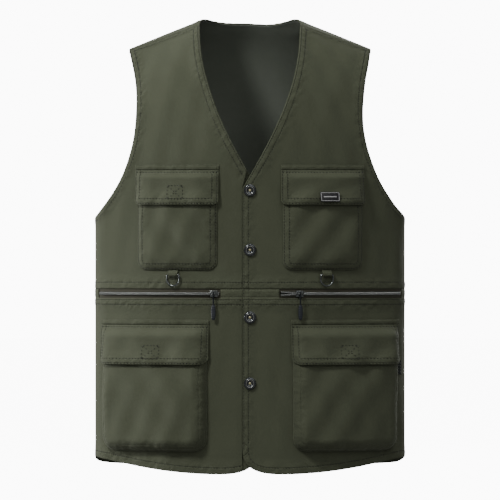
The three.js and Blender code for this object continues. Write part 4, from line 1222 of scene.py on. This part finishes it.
def zip_teeth(side, mirror):
    root = ROOT[mirror]
    pitch = 0.00125
    count = int((ZIP_OUT - ZIP_IN) / pitch)
    slider = SLIDER_AT[side]
    parts = []
    points0, faces0 = dash(0.0031, 0.00095, 0.0018, 8)
    points0 = points0[:, [1, 2, 0]] * np.array([1, -1, 1])
    for k in range(count):
        x = ZIP_IN + (k + 0.5) * pitch
        apart = 0.0011 * smooth(slider - 0.004 - x, 0, 0.02) if mirror > 0 else 0
        for way in (-1, 1):
            local = points0 + np.array([way * pitch / 4, -HALF_D - 0.0006, ZIP_Z + way * (0.0009 + float(apart))])
            parts.append((transformed(local, round_to(mirror * x)), [tuple(f) for f in faces0]))
    make(f"{side}_zip_teeth", parts, TEETH, root, replaces=(f"{side}_zip_coil",))
    for way, label in ((1, "upper"), (-1, "lower")):
        x = np.linspace(ZIP_IN - 0.004, ZIP_OUT + 0.0045, 90)
        apart = 0.0011 * smooth(slider - 0.004 - x, 0, 0.02) if mirror > 0 else 0 * x
        share = np.linspace(0, 1, 12)[:, None]
        z = ZIP_Z + way * ((0.0002 + apart)[None, :] * (1 - share) + 0.012 * share)
        grid = on_front(mirror, np.broadcast_to(x, z.shape), z, -0.00125)
        cloth(f"{side}_zip_tape_{label}", grid, 0.0005, TAPE, root, FAR,
              replaces=(f"{side}_zip_tape",))


def zip_slider(side, mirror):
    """The slider's two plates and its bridge, then the cord and moulded grip that hang from it."""
    place = round_to(mirror * SLIDER_AT[side])
    front = -HALF_D - 0.00245
    plate = rounded_box((0.0105, 0.0011, 0.0088), (0, front, ZIP_Z), 0.0005)
    back = rounded_box((0.0105, 0.0008, 0.0086), (0, -HALF_D + 0.0006, ZIP_Z), 0.0003)
    walls = [rounded_box((0.0095, 0.0031, 0.0009), (0, -HALF_D - 0.0008, ZIP_Z + s * 0.0038), 0.0003)
             for s in (-1, 1)]
    turn = np.linspace(-0.35, math.pi + 0.35, 25)
    arch = np.c_[0.0036 * np.cos(turn), front - 0.0004 - 0.0033 * np.clip(np.sin(turn), -0.2, 1),
                 np.full(25, ZIP_Z)]
    bridge = tube(arch, 0.00075, 10, closed=False)
    make(f"{side}_slider_body", [plate, back, *walls, bridge], METAL, f"{side}_zip_slider", place,
         replaces=(f"{side}_zip_slider",))

    bar = -HALF_D - 0.00615
    loop = []
    for k in range(40):
        a = 2 * math.pi * k / 40
        z = 0.0019 * math.sin(a)
        z = z if z > 0 else z * 4.2
        loop.append((0.0, bar + 0.0019 * math.cos(a), ZIP_Z + z))
    neck = [(0.0, bar + 0.0002 * math.sin(k), ZIP_Z - 0.0068 - 0.0105 * k / 12) for k in range(13)]
    cord = [tube(loop, 0.00072, 10), tube(neck, 0.00115, 10, closed=False)]
    make(f"{side}_puller_cord", cord, CORD, f"{side}_zip_puller", place, replaces=(f"{side}_zip_puller",))
    stations = np.linspace(0, 1, 56)
    turn = np.arange(20) * 2 * math.pi / 20
    rings = []
    for k in stations:
        end = math.sqrt(max(1 - abs(2 * k - 1) ** 5, 0.02))
        rib = 1 - 0.10 * (0.5 + 0.5 * math.cos(k * 2 * math.pi * 9)) * (0.18 < k < 0.82)
        wide = 0.0034 * end * (0.8 + 0.2 * math.sin(k * math.pi)) * rib
        deep = 0.0017 * end * rib
        c, s = np.cos(turn), np.sin(turn)
        rings.append(np.c_[wide * np.sign(c) * np.abs(c) ** 0.7, bar + deep * np.sign(s) * np.abs(s) ** 0.7,
                           np.full(20, ZIP_Z - 0.0150 - 0.022 * k)])
    faces = walls_between(len(rings), 20)
    faces += [tuple(range(20)), tuple(range((len(rings) - 1) * 20, len(rings) * 20))]
    make(f"{side}_puller_grip", [(np.vstack(rings), faces)], GRIP, f"{side}_zip_puller", place)


def zip_bag(side, mirror):
    """The pocket behind the zip: one sheet down behind the front, round the bottom and up to the tape again."""
    root = ROOT[mirror]
    x = np.linspace(0.0565, 0.1895, 60)
    down = np.linspace(ZIP_Z - 0.0068, -0.529, 40)
    turn = np.linspace(-0.5, 0.5, 9)
    ends = pillow(np.minimum(x - 0.0565, 0.1895 - x) / 0.02) * 0.85 + 0.15
    rows = []
    for z in down:
        rows.append((np.full(60, 0.0), np.full(60, z)))
    for k in turn[1:-1]:
        rows.append((np.full(60, 0.5 + k), np.full(60, -0.529 - 0.0018 * math.cos(k * math.pi))))
    for z in np.linspace(-0.529, ZIP_Z + 0.008, 44):
        rows.append((np.full(60, 1.0), np.full(60, z)))
    share = np.array([r[0] for r in rows])
    z = np.array([r[1] for r in rows])
    X = np.broadcast_to(x, z.shape)
    grid = on_front(mirror, X, z, -0.0031 - 0.0042 * share * ends[None, :])
    obj = cloth(f"{side}_zip_bag_cloth", grid, 0.0005, LINING, root, FAR,
                replaces=(f"{side}_zip_bag",))
    measure(grid)


def d_ring(side, mirror):
    root = ROOT[mirror]
    place = round_to(mirror * 0.106)
    half, drop, bend = 0.0092, 0.0155, 0.0025
    outline = ([(-half + bend, 0.0)] + [(half - bend, 0.0)] + arc_points((half - bend, -bend), bend, 80, 0, 8)
               + [(half, half - drop)] + arc_points((0, half - drop), half, -5, -175, 30)
               + [(-half, half - drop)] + arc_points((-half + bend, -bend), bend, 180, 100, 8))
    flat = densify(np.array(outline + outline[:1]), 0.0006)[:-1]
    path = np.c_[flat[:, 0], np.full(len(flat), -HALF_D - 0.004), flat[:, 1] + RING_Z]
    make(f"{side}_ring_wire", [tube(path, 0.00125, 14)], METAL, f"{side}_d_ring", place,
         replaces=(f"{side}_d_ring",))

    bar_y, radius = -HALF_D - 0.004, 0.0024
    turn = np.radians(np.linspace(180, 360, 15))
    under = [(bar_y + radius * math.cos(a), radius * math.sin(a)) for a in turn]
    path = densify(np.array([(-HALF_D - 0.0034, 0.0062), (bar_y - radius * 0.97, 0.0022)] + under
                            + [(bar_y + radius * 0.95, 0.002), (-HALF_D - 0.0012, 0.0062)]), 0.0004)
    x = np.linspace(-0.0068, 0.0068, 26)
    grid = np.stack(np.broadcast_arrays(x[None, :], path[:, :1], path[:, 1:] + RING_Z), -1)
    edge = np.minimum(x + 0.0068, 0.0068 - x)
    two = np.broadcast_to(edge[None, :], grid.shape[:2])
    flat = flat_pattern(grid)
    shape = grid.shape
    grid = transformed(grid.reshape(-1, 3), place).reshape(shape)
    cloth(f"{side}_ring_loop_cloth", grid, 0.0008, WEBBING, root,
          place @ Vector((0, bar_y + 0.0003, RING_Z + 0.001)), flat, two, None, replaces=(f"{side}_d_ring_loop",))


def patches(name, p, mirror):
    """Hook tape behind the flap and loop tape on the pocket."""
    root = ROOT[mirror]
    middle = (p["inner"] + p["outer"]) / 2
    low = hinge_z(p) - p["flap"] + 0.017
    x = middle + np.linspace(-0.0115, 0.0115, 24)
    z = low + np.linspace(-0.01, 0.01, 20)
    X, Z = np.broadcast_arrays(x[None, :], z[:, None])
    for suffix, lift, body in (("hook", 0.00125, f"{name}_flap"), ("loop", 0.0006, root)):
        grid = on_front(mirror, X, Z, bulge(p, X, Z) + lift)
        cloth(f"{name}_{suffix}_tape", grid, 0.0005, HOOK, body, FAR,
              replaces=(f"{name}_{suffix}",))


def badge():
    x, z = 0.106, -0.249
    low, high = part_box("badge")
    a = on_front(1, x, z - 0.006, cover(CHEST, x, z - 0.006))
    b = on_front(1, x, z + 0.006, cover(CHEST, x, z + 0.006))
    swing = math.asin(x / R)
    across = Vector((math.cos(swing), math.sin(swing), 0))
    normal = across.cross(Vector(b - a)).normalized()
    up = normal.cross(across)
    base = Vector((low + high) / 2)
    place = Matrix((across, up, normal)).transposed().to_4x4()
    place.translation = base
    make("badge_plate", [rounded_box((0.0288, 0.0138, 0.0013), bevel=0.0005, segments=4)], BADGE,
         "left_chest_flap", place, replaces=("badge",))
    corners = [(0.0132, 0.0057), (-0.0132, 0.0057), (-0.0132, -0.0057), (0.0132, -0.0057)]
    frame_line = []
    for k, (cx, cy) in enumerate(corners):
        sx, sy = math.copysign(0.0012, cx), math.copysign(0.0012, cy)
        frame_line += [(cx - sx + 0.0012 * math.cos(t), cy - sy + 0.0012 * math.sin(t), 0.0007)
                       for t in np.radians(np.linspace(90 * k, 90 * k + 90, 7))]
    make("badge_frame", [tube(frame_line, 0.0004, 8)], BADGE_LINE, "left_chest_flap", place)
    bar = rounded_box((0.0190, 0.0016, 0.0007), (0, 0, 0.0007), 0.0003)
    make("badge_bar", [bar], BADGE_LINE, "left_chest_flap", place)


def side_label():
    start = float(u_of(CARGO["outer"] - BAG_INSET)) + 0.0004
    u = start + np.linspace(0, 0.009, 18)
    z = -0.487 + np.linspace(-0.01, 0.01, 30)
    U, Z = np.broadcast_arrays(u[None, :], z[:, None])
    lift = 0.0008 + 0.0022 * (U - start) / 0.009
    v = v_of(CARGO["outer"], Z, FRONT)
    grid = torso(U, v, FRONT, lift)
    cloth("side_label_cloth", grid, 0.0006, LABEL, "left_front", FAR,
          replaces=("side_label",))
    over = lambda q, h: torso(q[..., 0], q[..., 1], FRONT, 0.0009 + 0.0022 * (q[..., 0] - start) / 0.009 + h)
    rows = []
    for k in range(4):
        height = -0.487 - 0.006 + 0.004 * k
        zig = [(start + 0.0015 + 0.001 * j, float(v_of(CARGO["outer"], height + 0.0009 * (-1) ** j, FRONT)))
               for j in range(7)]
        rows.append((densify(np.array(zig), 0.001), over))
    stitches("side_label_lines", rows, "left_front")
    bpy.data.objects["side_label_lines"].data.materials[0] = PALE_THREAD[0]


# ---------- studio ----------
def studio():
    camera = bpy.data.objects.new("camera", bpy.data.cameras.new("camera"))
    bpy.context.scene.collection.objects.link(camera)
    distance_m, view_width, plane_y = 10.0, 0.700, -0.06
    camera.location = (0, plane_y - distance_m, -0.323)
    camera.rotation_euler = (math.pi / 2, 0, 0)
    camera.data.sensor_width = 36
    camera.data.lens = 36 * distance_m / view_width
    bpy.context.scene.camera = camera
    low = cad_box[0].z
    floor = mesh_object("floor", [(x, y, low - 0.06) for x in (-20, 20) for y in (-20, 20)], [(0, 1, 3, 2)], False)
    material, tree, shader = nodes_of("pale_floor")
    g = Graph(tree)
    place = tree.nodes.new("ShaderNodeTexCoord").outputs["Object"]
    g.put(shader.inputs["Base Color"], g.mix(g.noise(place, 2.0), (0.20, 0.20, 0.20, 1), (0.24, 0.24, 0.24, 1)))
    shader.inputs["Roughness"].default_value = 0.9
    shader.inputs["Emission Color"].default_value = (1, 1, 1, 1)
    seen = tree.nodes.new("ShaderNodeLightPath").outputs["Is Camera Ray"]
    g.put(shader.inputs["Emission Strength"], g.math("MULTIPLY", seen, PAPER - 0.4))
    floor.data.materials.append(material)
    for name, place, energy, size in LIGHTS:
        light = bpy.data.objects.new(name, bpy.data.lights.new(name, "AREA"))
        light.data.energy = energy
        light.data.size = size
        light.location = place
        light.rotation_euler = (Vector((0, 0, -0.32)) - Vector(place)).to_track_quat("-Z", "Y").to_euler()
        bpy.context.scene.collection.objects.link(light)
    world = bpy.data.worlds.new("studio")
    world.use_nodes = True
    tree = world.node_tree
    g = Graph(tree)
    background = tree.nodes["Background"]
    background.inputs["Color"].default_value = (1, 1, 1, 1)
    seen = tree.nodes.new("ShaderNodeLightPath").outputs["Is Camera Ray"]
    g.put(background.inputs["Strength"], g.math("ADD", g.math("MULTIPLY", seen, PAPER - AMBIENT), AMBIENT))
    bpy.context.scene.world = world


# White paper behind the object is brighter than the light that it throws on the object.
PAPER = 11.0
AMBIENT = 0.22
LIGHTS = (("key", (-1.8, -2.2, 2.3), 88, 0.7), ("fill", (0.9, -2.6, 1.5), 18, 1.6),
          ("rim", (-3.0, 0.5, 0.2), 75, 1.0), ("top", (0.1, -0.4, 2.5), 14, 1.2),
          ("back", (1.2, 3.0, 0.9), 70, 1.8))


# ---------- build ----------
studio()
for side, mirror in (("right", -1), ("left", 1)):
    front_upper(side, mirror)
    front_lower(side, mirror)
    front_lining(side, mirror)
    shoulder_piping(side, mirror)
    side_piping(side, mirror)
    for p in (CHEST, CARGO):
        pocket(f"{side}_{p['name']}", p, mirror)
        patches(f"{side}_{p['name']}", p, mirror)
    zip_teeth(side, mirror)
    zip_slider(side, mirror)
    zip_bag(side, mirror)
    d_ring(side, mirror)
front_facing("left_front_facing", "left_front_facing", 1)
front_facing("right_button_stand", "right_button_stand", -1)
back_panel()
badge()
side_label()
for i, z in enumerate(SNAPS, 1):
    snap_cap(i, z)
    for part in ("socket", "stud"):
        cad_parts[f"snap_{part}_{i}"].data.materials.clear()
        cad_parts[f"snap_{part}_{i}"].data.materials.append(METAL[0])


def plain(box_):
    return [list(map(float, corner)) for corner in box_]
